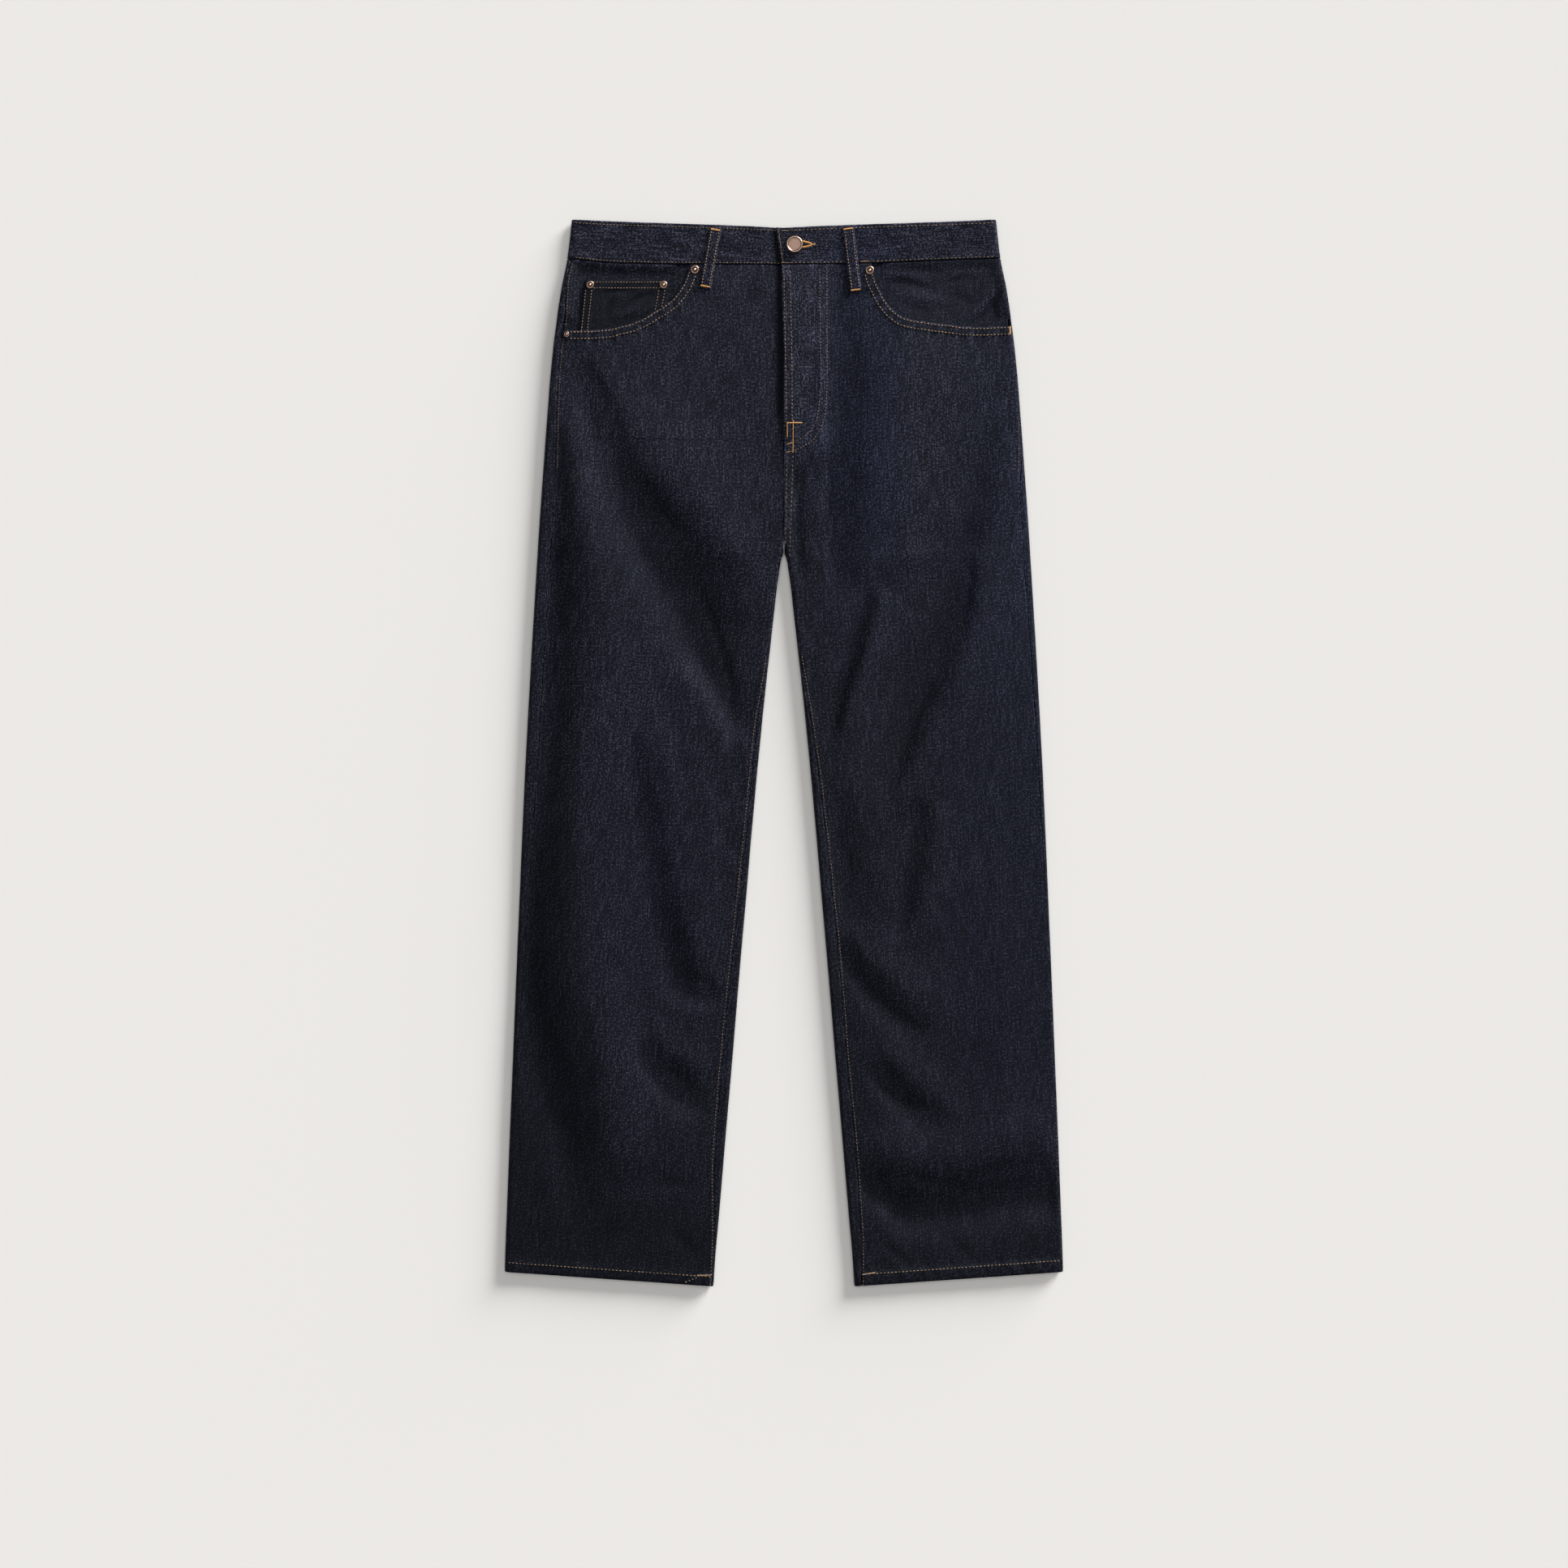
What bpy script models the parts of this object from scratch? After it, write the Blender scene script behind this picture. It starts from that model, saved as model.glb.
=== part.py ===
"""Five-pocket jeans in rigid indigo denim, laid flat with the front up.

Every piece that is cut and sewn is its own solid: two fronts, two backs, two yokes, the waistband,
pocket facings, coin pocket, back pockets, belt loops, button and rivets.  Sizes are millimetres until
a mesh is made.  +X is the wearer's left, +Y runs to the waist and +Z up; the jeans lie on z = 0.
"""
import math

import bmesh
import bpy
import numpy as np

MM = 0.001

# ---- cloth ---------------------------------------------------------------------------------------
WALL = 1.25  # one layer of denim
HEM_WALL = 2.9  # the hem, folded twice
BAND_WALL = 2.6  # the waistband, two layers
LOOP_WALL = 1.5  # a belt loop, folded in three
GAP = 0.3  # between neighbours at a seam
LAYER = 1.8  # from the middle of one layer to the middle of the one that lies on it
HEM_DEPTH = 12.5
HEM_STEP = 2.0  # the wall grows to the hem's over this length
EDGE_REACH = 3.0  # half the width of the roll where the cloth turns under at a leg's edge
EDGE_ROLL = 9.2  # length of cloth in that roll
LIFT = 1.6  # the back's cloth stands this far off the floor over its pockets and loops

# ---- the leg tube: one row for each station down the leg -------------------------------------------
# outer, inner: the outline's distance from the centre line; height: of the front cloth's middle at the
# leg's edges; crown: how much higher it lies between them;
# the seams' columns: how far each seam lies in from the leg's edge, measured on the cloth.
STATION_COLUMNS = (
    "y", "outer", "inner", "height", "crown", "outseam_right", "outseam_left", "inseam_right", "inseam_left")
STATIONS = np.array((
    (538, 214.0, 0.0, 7.2, 0, 5.0, 2.0, 2.0, 2.0),
    (498, 218.7, 0.0, 7.6, 0, 5.0, 2.0, 2.0, 2.0),
    (481, 222.0, 0.0, 8.8, 0.1, 4.3, 2.0, 2.0, 2.0),
    (465, 225.1, 0.0, 9.4, 0.2, 6.0, 2.0, 2.0, 2.0),
    (432, 229.8, 0.0, 9.6, 0.6, 8.5, 2.0, 2.0, 2.0),
    (399, 233.8, 0.0, 9.6, 1.0, 8.5, 2.0, 2.0, 2.0),
    (350, 238.0, 0.0, 9.4, 1.4, 10.0, 2.0, 2.0, 2.0),
    (288, 242.6, 0.0, 9.2, 1.8, 13.0, 4.7, 2.0, 2.0),
    (252, 245.2, 0.0, 9.0, 2.0, 14.0, 8.0, 2.0, 2.0),
    (204, 248.4, 0.0, 8.9, 2.3, 14.2, 8.0, 2.0, 2.0),
    (197, 248.8, 2.2, 8.9, 2.4, 14.2, 8.0, 2.0, 2.0),
    (186, 249.5, 4.3, 8.8, 2.5, 14.2, 8.0, 2.0, 2.0),
    (145, 252.0, 9.4, 8.7, 2.8, 14.0, 7.5, 2.0, 2.0),
    (104, 254.5, 14.0, 8.6, 3.0, 13.7, 7.0, 2.0, 2.2),
    (63, 256.8, 18.6, 8.5, 3.1, 13.7, 6.5, 3.5, 4.3),
    (22, 259.1, 22.8, 8.4, 3.2, 13.6, 6.0, 6.2, 6.7),
    (-60, 263.1, 30.6, 8.3, 3.3, 12.0, 5.0, 6.4, 9.6),
    (-142, 266.6, 37.7, 8.2, 3.3, 10.0, 4.0, 8.0, 11.5),
    (-224, 270.1, 44.9, 8.2, 3.3, 7.8, 3.0, 9.6, 12.5),
    (-306, 273.4, 51.7, 8.2, 3.3, 5.0, 2.0, 10.8, 12.0),
    (-388, 276.7, 58.8, 8.2, 3.0, 2.0, 2.0, 10.3, 12.9),
    (-470, 279.9, 65.7, 8.2, 1.2, 2.0, 2.0, 5.0, 11.7),
    (-511, 281.4, 69.3, 8.0, 0.3, 2.0, 2.0, 2.2, 9.5),
    (-544, 282.5, 71.3, 7.8, 0.0, 2.0, 2.0, 2.0, 7.0)))

CROTCH_Y = 204.0
CROTCH_RISE = 10.0  # the back's fork turns up to meet the front over this length
CROTCH_GAP = 0.35  # added to half the gap where four seams meet
HEM_GAP = 0.3  # added to half the gap where the seams run through the thick hem
HEM_INNER = (70.9, -538.3)
HEM_OUTER = (281.7, -523.6)

# ---- waist: x, y of the lines across it --------------------------------------------------------------
WAIST_SEAM = {
    -1: ((0, 492.0), (100, 492.4), (155, 493.1), (214, 497.7)),
    1: ((0, 492.0), (62, 492.8), (130, 495.3), (219, 498.6))}
WAIST_TOP = ((0, 529.3), (62, 532.2), (160, 535.5), (214, 537.9))
BACK_TOP_DROP = 1.5  # the back's top edge lies just below the front's
FLAP_END = (-2.9, -8.0)  # x of the lapping end, at the seam and at the top edge
UNDERLAP_END = 30.0
FLAP_RAMP_X = (58.0, 36.0)  # the lapping end climbs between these
FLAP_COLUMNS = (47.0, 36.0, 14.0)
FLAP_HEIGHT = 9.0
UNDERLAP_FROM = -30.0
UNDERLAP_RAMP_X = (-20.0, -8.0)  # the end below it sinks between these
UNDERLAP_HEIGHT = 6.0
BAND_LEVEL_Y = 510.0

# ---- fly: the left front lies over the right one -------------------------------------------------------
FLY_RAISE = 2.4
FLY_WIDTH = 43.0
FLY_RAMP = 16.0
FLY_BOTTOM_Y = 312.0
FLY_FADE = 40.0
FLY_LEAN = 2.0  # how far the fly's edge has moved over the centre at the waist
FLY_LEAN_Y = (384.0, 484.0)
FLY_UNDERLAP = 8.0
SEAM_RAISE = 0.9
SEAM_WIDTH = (4.0, 12.0)
SEAM_FADE_Y = (229.0, 209.0)

# ---- front pockets: x, y down the mouth, from the waist seam to the side -------------------------------
MOUTH = {
    -1: ((94.7, 492.3), (98.0, 480.5), (106.2, 465.1), (116.4, 453.9), (130.8, 444.6),
         (147.2, 435.4), (163.6, 430.3), (186.0, 426.3), (205.0, 425.6), (219.5, 425.6)),
    1: ((88.2, 493.2), (91.3, 478.9), (95.9, 468.4), (103.9, 453.5), (112.8, 443.6),
        (123.8, 437.5), (141.7, 434.3), (164.4, 431.5), (195.0, 429.0), (222.0, 430.0))}
FACING_UNDER = (9.0, 11.0)  # how far the facing runs on under the front, across and down
COIN_ROOM_X = (100.0, 114.0)  # out from here the coin pocket lies between facing and front
FACING_SHELF = 7.0  # the facing stays at its full depth this far from the mouth
FACING_RAMP = 12.0
FACING_GAP = 0.5  # from the side seam's line
FACING_COLUMNS = (0, .06, .13, .2, .3, .4, .5, .6, .7, .8, .9, .965, .985, .9967, 1)
FACING_ROWS = 6
COIN_TOP_Y = 477.0
COIN_INNER = (116.4, 0.19)  # x at the top edge, and how it moves out for each mm down
COIN_OUTER = (200.3, 0.106)
COIN_UNDER = 10.0

# ---- back ---------------------------------------------------------------------------------------------
YOKE_SEAM = ((0, 417.0), (120, 440.0), (245, 458.0))
BACK_POCKET_CENTRE = (104.0, 320.0)
BACK_POCKET_TILT = math.radians(4.0)
# half width and height above the pocket's middle, round one half of it
BACK_POCKET_HALF = ((70.0, 74.0), (63.0, -50.0), (0.0, -76.0))
LIFT_X = (203.0, 222.0)
LIFT_Y = (192.0, 222.0)

# ---- folds: ridges stand up and troughs sink -------------------------------------------------------
# Down the leg: y, x of the fold's line, its width towards -x and towards +x, its height.
FOLDS_DOWN = {
    "long valley of the right thigh": (
        (410, -214, 10, 14, 0), (340, -192, 16, 30, -4.5), (299, -178, 22, 42, -5.5),
        (258, -160, 26, 52, -7.5), (217, -140, 28, 58, -9), (176, -118, 28, 56, -9.5),
        (135, -98, 26, 46, -9.5), (94, -80, 22, 34, -9), (53, -60, 16, 22, -6.5), (8, -42, 12, 12, 0)),
    "right hip above it": (
        (400, -190, 30, 40, 0), (340, -166, 30, 60, 3), (299, -136, 36, 60, 5), (258, -102, 42, 60, 5.5),
        (217, -66, 45, 40, 5.5), (176, -44, 45, 30, 4), (130, -36, 30, 20, 0)),
    "crest of the right leg's side": (
        (345, -217, 14, 16, 0), (299, -212, 16, 26, 4), (217, -198, 26, 36, 6.5), (135, -187, 36, 40, 8),
        (53, -186, 40, 40, 8), (-29, -194, 38, 42, 8), (-111, -202, 36, 42, 8), (-193, -200, 40, 42, 8.5),
        (-275, -188, 46, 40, 9), (-357, -174, 46, 40, 9), (-423, -172, 40, 36, 5), (-485, -172, 34, 30, 0)),
    "valley of the right shin's side": (
        (-60, -266, 12, 20, 0), (-130, -264, 13, 26, -3), (-193, -262, 14, 30, -5.5),
        (-275, -253, 16, 34, -8), (-357, -234, 20, 32, -8), (-423, -214, 24, 28, -4),
        (-480, -204, 22, 26, 0)),
    "valley beside the right outseam": (
        (330, -222, 7, 12, 0), (290, -225, 7, 14, -2.5), (217, -229, 8, 18, -4), (135, -234, 8, 24, -4.5),
        (53, -239, 9, 26, -4.5), (-29, -244, 9, 24, -3.5), (-111, -250, 9, 22, -2.5), (-200, -256, 9, 20, 0)),
    "valley of the right knee": (
        (24, -152, 9, 12, 0), (-29, -148, 14, 20, -3), (-70, -143, 15, 22, -3.5), (-111, -137, 16, 22, -3),
        (-152, -129, 16, 24, -3.5), (-193, -118, 18, 26, -4.5), (-230, -106, 18, 28, -4.5),
        (-262, -92, 14, 24, 0)),
    "crest of the right knee": (
        (30, -134, 16, 24, 0), (-29, -124, 16, 26, 2.4), (-111, -110, 18, 28, 2.8), (-193, -90, 22, 26, 3.4),
        (-248, -74, 18, 18, 0)),
    "valley beside the placket": (
        (485, 48, 5, 20, -0.8), (400, 47, 5, 28, -3), (300, 46, 5, 30, -3.8), (217, 48, 6, 28, -3.8),
        (150, 54, 8, 20, 0)),
    "crest of the left hip": (
        (470, 122, 40, 50, 0), (381, 122, 56, 60, 5.5), (340, 112, 50, 60, 6), (299, 100, 42, 60, 6.5),
        (258, 91, 34, 60, 6.5), (217, 84, 28, 60, 5.5), (165, 80, 24, 40, 0)),
    "long valley of the left thigh": (
        (325, 208, 14, 14, 0), (299, 202, 16, 18, -2.5), (233, 190, 20, 24, -5), (176, 172, 24, 32, -7),
        (130, 159, 26, 36, -8), (78, 137, 26, 36, -8), (20, 117, 20, 30, -7), (-21, 105, 16, 22, -4.5),
        (-60, 96, 10, 14, 0)),
    "long crest of the left thigh": (
        (325, 224, 14, 14, 0), (299, 222, 18, 16, 2.4), (233, 213, 22, 24, 4), (176, 201, 28, 30, 6),
        (130, 194, 32, 34, 6.5), (78, 178, 32, 36, 6.5), (20, 152, 26, 36, 5.5), (-21, 131, 20, 32, 4),
        (-65, 116, 14, 24, 0)),
    "valley of the left knee": (
        (-48, 142, 8, 10, 0), (-74, 138, 9, 13, -2.8), (-111, 131, 10, 15, -3.6), (-160, 120, 10, 15, -3.4),
        (-194, 112, 8, 12, 0)),
    "crest of the left knee": (
        (-48, 156, 12, 18, 0), (-74, 152, 13, 20, 2), (-111, 147, 14, 22, 3), (-160, 138, 14, 22, 2.8),
        (-200, 128, 12, 18, 0)),
    "inner valley of the left knee": (
        (-36, 57, 10, 16, 0), (-70, 57, 11, 20, -2.6), (-111, 58, 11, 24, -3.4), (-150, 62, 11, 22, -2.6),
        (-185, 68, 10, 16, 0))}
# Across the leg: x, y of the fold's line, its width towards the hem and towards the waist, its height.
FOLDS_ACROSS = {
    "first valley of the left shin": (
        (50, -198, 9, 14, 0), (68, -224, 12, 20, -2.8), (92, -252, 16, 26, -3.6), (118, -274, 16, 24, -2.2),
        (150, -292, 10, 16, 0)),
    "first crest of the left shin": (
        (62, -180, 12, 16, 0), (85, -206, 16, 20, 1.8), (116, -232, 18, 26, 2.2), (150, -258, 16, 26, 1.2),
        (185, -278, 12, 20, 0)),
    "second valley of the left shin": (
        (76, -318, 9, 12, 0), (92, -330, 12, 18, -1.6), (112, -350, 15, 24, -3), (134, -366, 14, 22, -2),
        (160, -380, 9, 14, 0)),
    "second crest of the left shin": (
        (96, -296, 10, 14, 0), (118, -318, 14, 20, 1.8), (146, -340, 16, 24, 2), (190, -362, 12, 20, 0)),
    "valley over the left hem": (
        (66, -430, 10, 14, 0), (96, -450, 14, 26, -4.5), (130, -468, 18, 34, -6), (190, -462, 20, 36, -5.5),
        (250, -450, 20, 36, -4.5), (290, -444, 16, 30, -4)),
    "crest over the left hem": (
        (66, -384, 20, 20, 0), (110, -404, 30, 26, 3), (160, -408, 36, 30, 4), (230, -396, 38, 36, 4),
        (290, -386, 38, 36, 3)),
    "valley of the right shin": (
        (-152, -304, 10, 14, 0), (-136, -324, 14, 24, -2.6), (-116, -342, 14, 28, -3.6),
        (-92, -354, 12, 22, -2.4), (-74, -358, 8, 12, 0)),
    "crest of the right shin": (
        (-140, -276, 12, 16, 0), (-116, -296, 16, 20, 2.2), (-90, -312, 16, 20, 2), (-72, -318, 12, 14, 0))}
FOLD_MARGIN = 14.0  # folds die out this close to a leg's edge
CROWN_FALL = 55.0  # the crown falls to a leg's edge over this width
LEG_BEGINS_Y = (264.0, 174.0)  # the crown splits into one for each leg between these heights
INNER_MARGIN_Y = (216.0, 196.0)  # the folds keep off the inner edges from here down
REST_HEIGHT = (2.4, 4.2)  # lowest the front's middle may lie: on the leg's back, on the seat's back
SEAT_BEGINS_Y = (150.0, 200.0)

# ---- grids ------------------------------------------------------------------------------------------------
LEG_ROWS = (365, 340, 312, 280, 250, 228, 214, 209, 204, 196, 184, 150,
            *range(115, -201, -35), *range(-227, -498, -27))
TOP_ROWS = 5  # rows between a panel's own top edge and the first row of the leg
YOKE_ROWS = 4
FRONT_COLUMNS = (0, .0025, .01, .022, .065, .125, .19, .26, .33, .40, .48, .56, .64, .72, .80, .87,
                 .93, .978, .99, .9975, 1)
ROLL_STEPS = (1.6, 0.5)  # the last columns of a front's top edge, before its side seam
EDGE_COLUMNS = 7
EDGE_CROWDING = 1.6  # columns stand closer near the seam
FLOOR_COLUMNS = 6
EDGE_FLOOR = 10.0  # floor cloth that is counted with an edge's roll
EDGE_NEAR_X = {"outer": 240.0, "inner": 40.0}  # about where a leg's edges lie, to start from
BAND_ROWS = 3
BAND_COLUMNS = {"underlap": 3, "right": 5, "side": 5, "back": 10, "left": 5}
COIN_ROWS, COIN_COLUMNS = 4, 6

# ---- loops and metal: x, y of the top and bottom ends, and places of the caps --------------------------
LOOP_WIDTH = 11.5
LOOP_ARCH = 1.0
LOOPS = {
    "belt_loop_front_right": ((-68.7, 528.5), (-79.3, 468.6)),
    "belt_loop_front_left": ((64.7, 529.5), (72.5, 465.0))}
BACK_LOOPS = {
    "belt_loop_back_right": (-122.0, -119.0),
    "belt_loop_back_centre": (0.0, 0.0),
    "belt_loop_back_left": (122.0, 119.0)}
BACK_LOOP_Y = (528.0, 473.0)
BUTTON_PLACE = (10.8, 512.5)
BUTTON_RADIUS = 8.4
RIVETS = {
    "rivet_pocket_right": (-89.8, 487.1, 4.5),
    "rivet_pocket_left": (86.5, 486.4, 4.5),
    "rivet_coin_inner": (-121.4, 471.9, 4.0),
    "rivet_coin_outer": (-195.4, 471.9, 4.0),
    "rivet_side_right": (-219.0, 421.6, 2.8)}
# radius and height round a turned cap, as shares of its radius
RIVET_PROFILE = ((1.0, 0.0), (1.0, 0.10), (0.80, 0.26), (0.42, 0.30), (0.34, 0.38))
BUTTON_PROFILE = ((1.0, 0.0), (1.0, 0.16), (0.93, 0.29), (0.80, 0.30), (0.70, 0.22), (0.30, 0.20))

DENIM = (0.019, 0.021, 0.034)
COPPER = (0.55, 0.26, 0.16)


def smooth(t):
    """0 below 0, 1 above 1, and an even S between them."""
    t = min(max(t, 0.0), 1.0)
    return t * t * (3 - 2 * t)


def ramp(x, start, end):
    """An even S from 0 at start to 1 at end."""
    return smooth((x - start) / (end - start))


def at(column, y):
    """A column of the station table, read at height y."""
    return float(np.interp(-y, -STATIONS[:, 0], STATIONS[:, STATION_COLUMNS.index(column)]))


def along(points, x):
    """The height at x of a line through a few points."""
    xs, ys = zip(*points)
    return float(np.interp(x, xs, ys))


def off_segment(x, y, x0, y0, x1, y1):
    """Distance from x, y to a straight segment."""
    dx, dy = x1 - x0, y1 - y0
    share = ((x - x0) * dx + (y - y0) * dy) / (dx * dx + dy * dy)
    share = min(max(share, 0.0), 1.0)
    return math.hypot(x - x0 - share * dx, y - y0 - share * dy)


def off_line(points, x, y):
    """Distance from x, y to a line through points."""
    return min(off_segment(x, y, *a, *b) for a, b in zip(points, points[1:]))


def fold(rows, along, across):
    """Height of one fold, whose line, widths and height are read from its rows."""
    line, before, beyond, height = (float(np.interp(along, rows[:, 0], rows[:, k])) for k in (1, 2, 3, 4))
    width = before if across < line else beyond
    return height * math.exp(-((across - line) / width) ** 2)


def folds(x, y):
    """Height that the folds add at x, y."""
    down = sum(fold(rows, y, x) for rows in DOWN)
    return down + sum(fold(rows, x, y) for rows in ACROSS)


def back_lift(x, y):
    """Height of the back's cloth off the floor, over its pockets and loops."""
    return LIFT * ramp(abs(x), LIFT_X[1], LIFT_X[0]) * ramp(y, *LIFT_Y)


def waist_seam(side):
    return lambda x: along(WAIST_SEAM[side], abs(x))


def waist_top(x):
    return along(WAIST_TOP, abs(x))


def hem(x):
    slope = (HEM_OUTER[1] - HEM_INNER[1]) / (HEM_OUTER[0] - HEM_INNER[0])
    return HEM_INNER[1] + slope * (abs(x) - HEM_INNER[0])


def between(first, second, share):
    """A line across the cloth, part of the way from one line to another."""
    return lambda x: first(x) * (1 - share) + second(x) * share


def leg_row(side, y):
    """The row of the leg that crosses the centre line at y; rows tilt from the waist to the hem."""
    waist = waist_seam(side)
    return between(waist, hem, (waist(0) - y) / (waist(0) - hem(0)))


def above_hem(depth):
    return lambda x: hem(x) + depth


def hem_rows():
    """The last rows: where the folded hem begins, and its edge."""
    return [above_hem(HEM_DEPTH + HEM_STEP), above_hem(HEM_DEPTH), hem]


def wall_of(line):
    """Wall of a row: the hem's two rows are thick."""
    return HEM_WALL if line(0) < hem(0) + HEM_DEPTH + HEM_STEP / 2 else WALL


def seam_gap(line, at_crotch=False):
    """Half the gap at a side seam or, at the crotch, where four seams meet."""
    wider = HEM_GAP if wall_of(line) > WALL else 0.0
    if at_crotch and abs(line(0) - CROTCH_Y) < 2.5 * CROTCH_RISE:
        wider = CROTCH_GAP
    return GAP / 2 + wider


def front_raise(side, x, y):
    """The left front lies over the right one: all of the fly, then only the seam."""
    if side < 0:
        return 0.0
    fly = 1 - smooth((x - FLY_WIDTH) / FLY_RAMP)
    seam = 1 - ramp(x, *SEAM_WIDTH)
    down = smooth((FLY_BOTTOM_Y - y) / FLY_FADE)
    return (FLY_RAISE * fly * (1 - down) + SEAM_RAISE * seam * down) * (1 - ramp(y, *SEAM_FADE_Y))


class Edge:
    """Where a leg's cloth turns under: a rolled edge, outer or inner, on one row of the leg."""

    def __init__(self, leg, line, wall, outward, rise=1.0):
        self.leg, self.line, self.wall, self.outward = leg, line, wall, outward
        side = "outer" if outward else "inner"
        x = EDGE_NEAR_X[side]
        for _ in range(4):
            x = max(at(side, line(x)), seam_gap(line, at_crotch=True))
        self.reach = EDGE_REACH * rise
        self.sign = 1 if outward else -1
        self.middle = x - self.sign * (self.reach + min(1.0, 2 * rise) * wall / 2)

    def floor(self, inset):
        """A point on the floor cloth, inset from the roll's middle."""
        x = self.middle - self.sign * inset
        y = self.line(x)
        return x, y, self.wall / 2 + back_lift(x, y)

    def top(self, inset):
        x = self.middle - self.sign * inset
        y = self.line(x)
        return x, y, self.leg.height(x, y)

    def roll(self, angle):
        """A point on the roll: angle 0 is its top and pi its foot."""
        high, low = self.top(0)[2], self.floor(0)[2]
        x = self.middle + self.sign * self.reach * math.sin(angle)
        return x, self.line(x), (high + low) / 2 + (high - low) / 2 * math.cos(angle)

    def point(self, cloth):
        """A point on the cloth, this far up (or down) from the edge itself."""
        half = EDGE_ROLL / 2
        if cloth >= half:
            return self.top(cloth - half)
        if cloth <= -half:
            return self.floor(-cloth - half)
        return self.roll(math.pi * (0.5 - cloth / EDGE_ROLL))


class Leg:
    """One side of the jeans, worked out on +X and mirrored onto its own side."""

    def __init__(self, side):
        self.side = side
        self.name = "left" if side > 0 else "right"
        self.waist = waist_seam(side)
        self.mouth = MOUTH[side]
        self.rows = [leg_row(side, y) for y in LEG_ROWS]
        self.hem_rows = hem_rows()

    def placed(self, point):
        x, y, z = point
        return self.side * x, y, z

    def seam(self, kind, line):
        """How far the outseam or the inseam lies from its edge on this row."""
        near = EDGE_NEAR_X["outer" if kind == "outseam" else "inner"]
        return at(f"{kind}_{self.name}", line(near))

    def height(self, x, y):
        """Height of the front cloth's middle: its loft, its folds and the fly."""
        inner, outer = at("inner", y), at("outer", y)
        margin = smooth((outer - x) / FOLD_MARGIN)
        margin *= 1 - ramp(y, *INNER_MARGIN_Y) * (1 - smooth((x - inner) / FOLD_MARGIN))
        crown = at("crown", y) * smooth((outer - x) / CROWN_FALL)
        crown *= 1 - ramp(y, *LEG_BEGINS_Y) * (1 - smooth((x - inner) / CROWN_FALL))
        lowest = REST_HEIGHT[0] + (REST_HEIGHT[1] - REST_HEIGHT[0]) * ramp(y, *SEAT_BEGINS_Y)
        over = at("height", y) + crown + margin * folds(self.side * x, y) - lowest
        settled = lowest + (over + math.sqrt(over * over + 1)) / 2
        return settled + front_raise(self.side, x, y)

    def front_edge(self, y):
        """x of the front's edge at the centre: the right front runs under the fly."""
        if y < FLY_BOTTOM_Y + 1:
            return GAP / 2
        if self.side < 0:
            return -FLY_UNDERLAP
        return -FLY_LEAN * ramp(y, *FLY_LEAN_Y)

    def front_row(self, line, shares):
        """Points of the front across one row, at shares of its width."""
        outer = Edge(self, line, wall_of(line), True)
        reach = EDGE_ROLL / 2 - self.seam("outseam", line) - seam_gap(line)
        if line(0) > CROTCH_Y + 1:
            start = self.front_edge(line(0))
            width = outer.middle + reach - start
            across = [start + share * width for share in shares]
            points = [(x, line(x), self.height(x, line(x))) for x in across if x <= outer.middle]
            rolled = [x for x in across if x > outer.middle]
            return points + [outer.point(EDGE_ROLL / 2 - (x - outer.middle)) for x in rolled]
        inner = Edge(self, line, wall_of(line), False)
        begin = self.seam("inseam", line) + seam_gap(line, at_crotch=True)
        flat = outer.middle - inner.middle
        width = EDGE_ROLL / 2 + flat + reach - begin
        points = []
        for share in shares:
            cloth = begin + share * width
            if cloth < EDGE_ROLL / 2 + flat / 2:
                points.append(inner.point(cloth))
            else:
                points.append(outer.point(EDGE_ROLL + flat - cloth))
        return points

    def front_top(self, x):
        """The front's top edge: the waist seam, then the pocket's mouth."""
        if x <= self.mouth[0][0]:
            return self.waist(x) - GAP
        return along(self.mouth, x)

    def top_shares(self):
        """Columns along the top edge: even up to the mouth, then at the mouth's own points."""
        start = self.front_edge(self.waist(0))
        line = self.front_top
        outer = Edge(self, line, WALL, True)
        width = outer.middle + EDGE_ROLL / 2 - self.seam("outseam", line) - GAP / 2 - start
        inner_count = len(FRONT_COLUMNS) - len(self.mouth) - len(ROLL_STEPS)
        xs = list(np.linspace(start, self.mouth[0][0], inner_count))
        xs += [x for x, _ in self.mouth[1:]]
        xs += [start + width - step for step in ROLL_STEPS] + [start + width]
        return [(x - start) / width for x in xs]

    def front(self):
        shares = np.array(self.top_shares())
        even = np.array(FRONT_COLUMNS)
        grid = []
        for step in range(TOP_ROWS):
            line = between(self.front_top, self.rows[0], step / TOP_ROWS)
            mixed = shares + (even - shares) * 0.5 * smooth(step / TOP_ROWS)
            grid.append(self.front_row(line, mixed))
        for number, line in enumerate(self.rows + self.hem_rows):
            mixed = shares + (even - shares) * (0.5 + 0.5 * smooth(number / 4))
            grid.append(self.front_row(line, mixed))
        return grid

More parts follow.
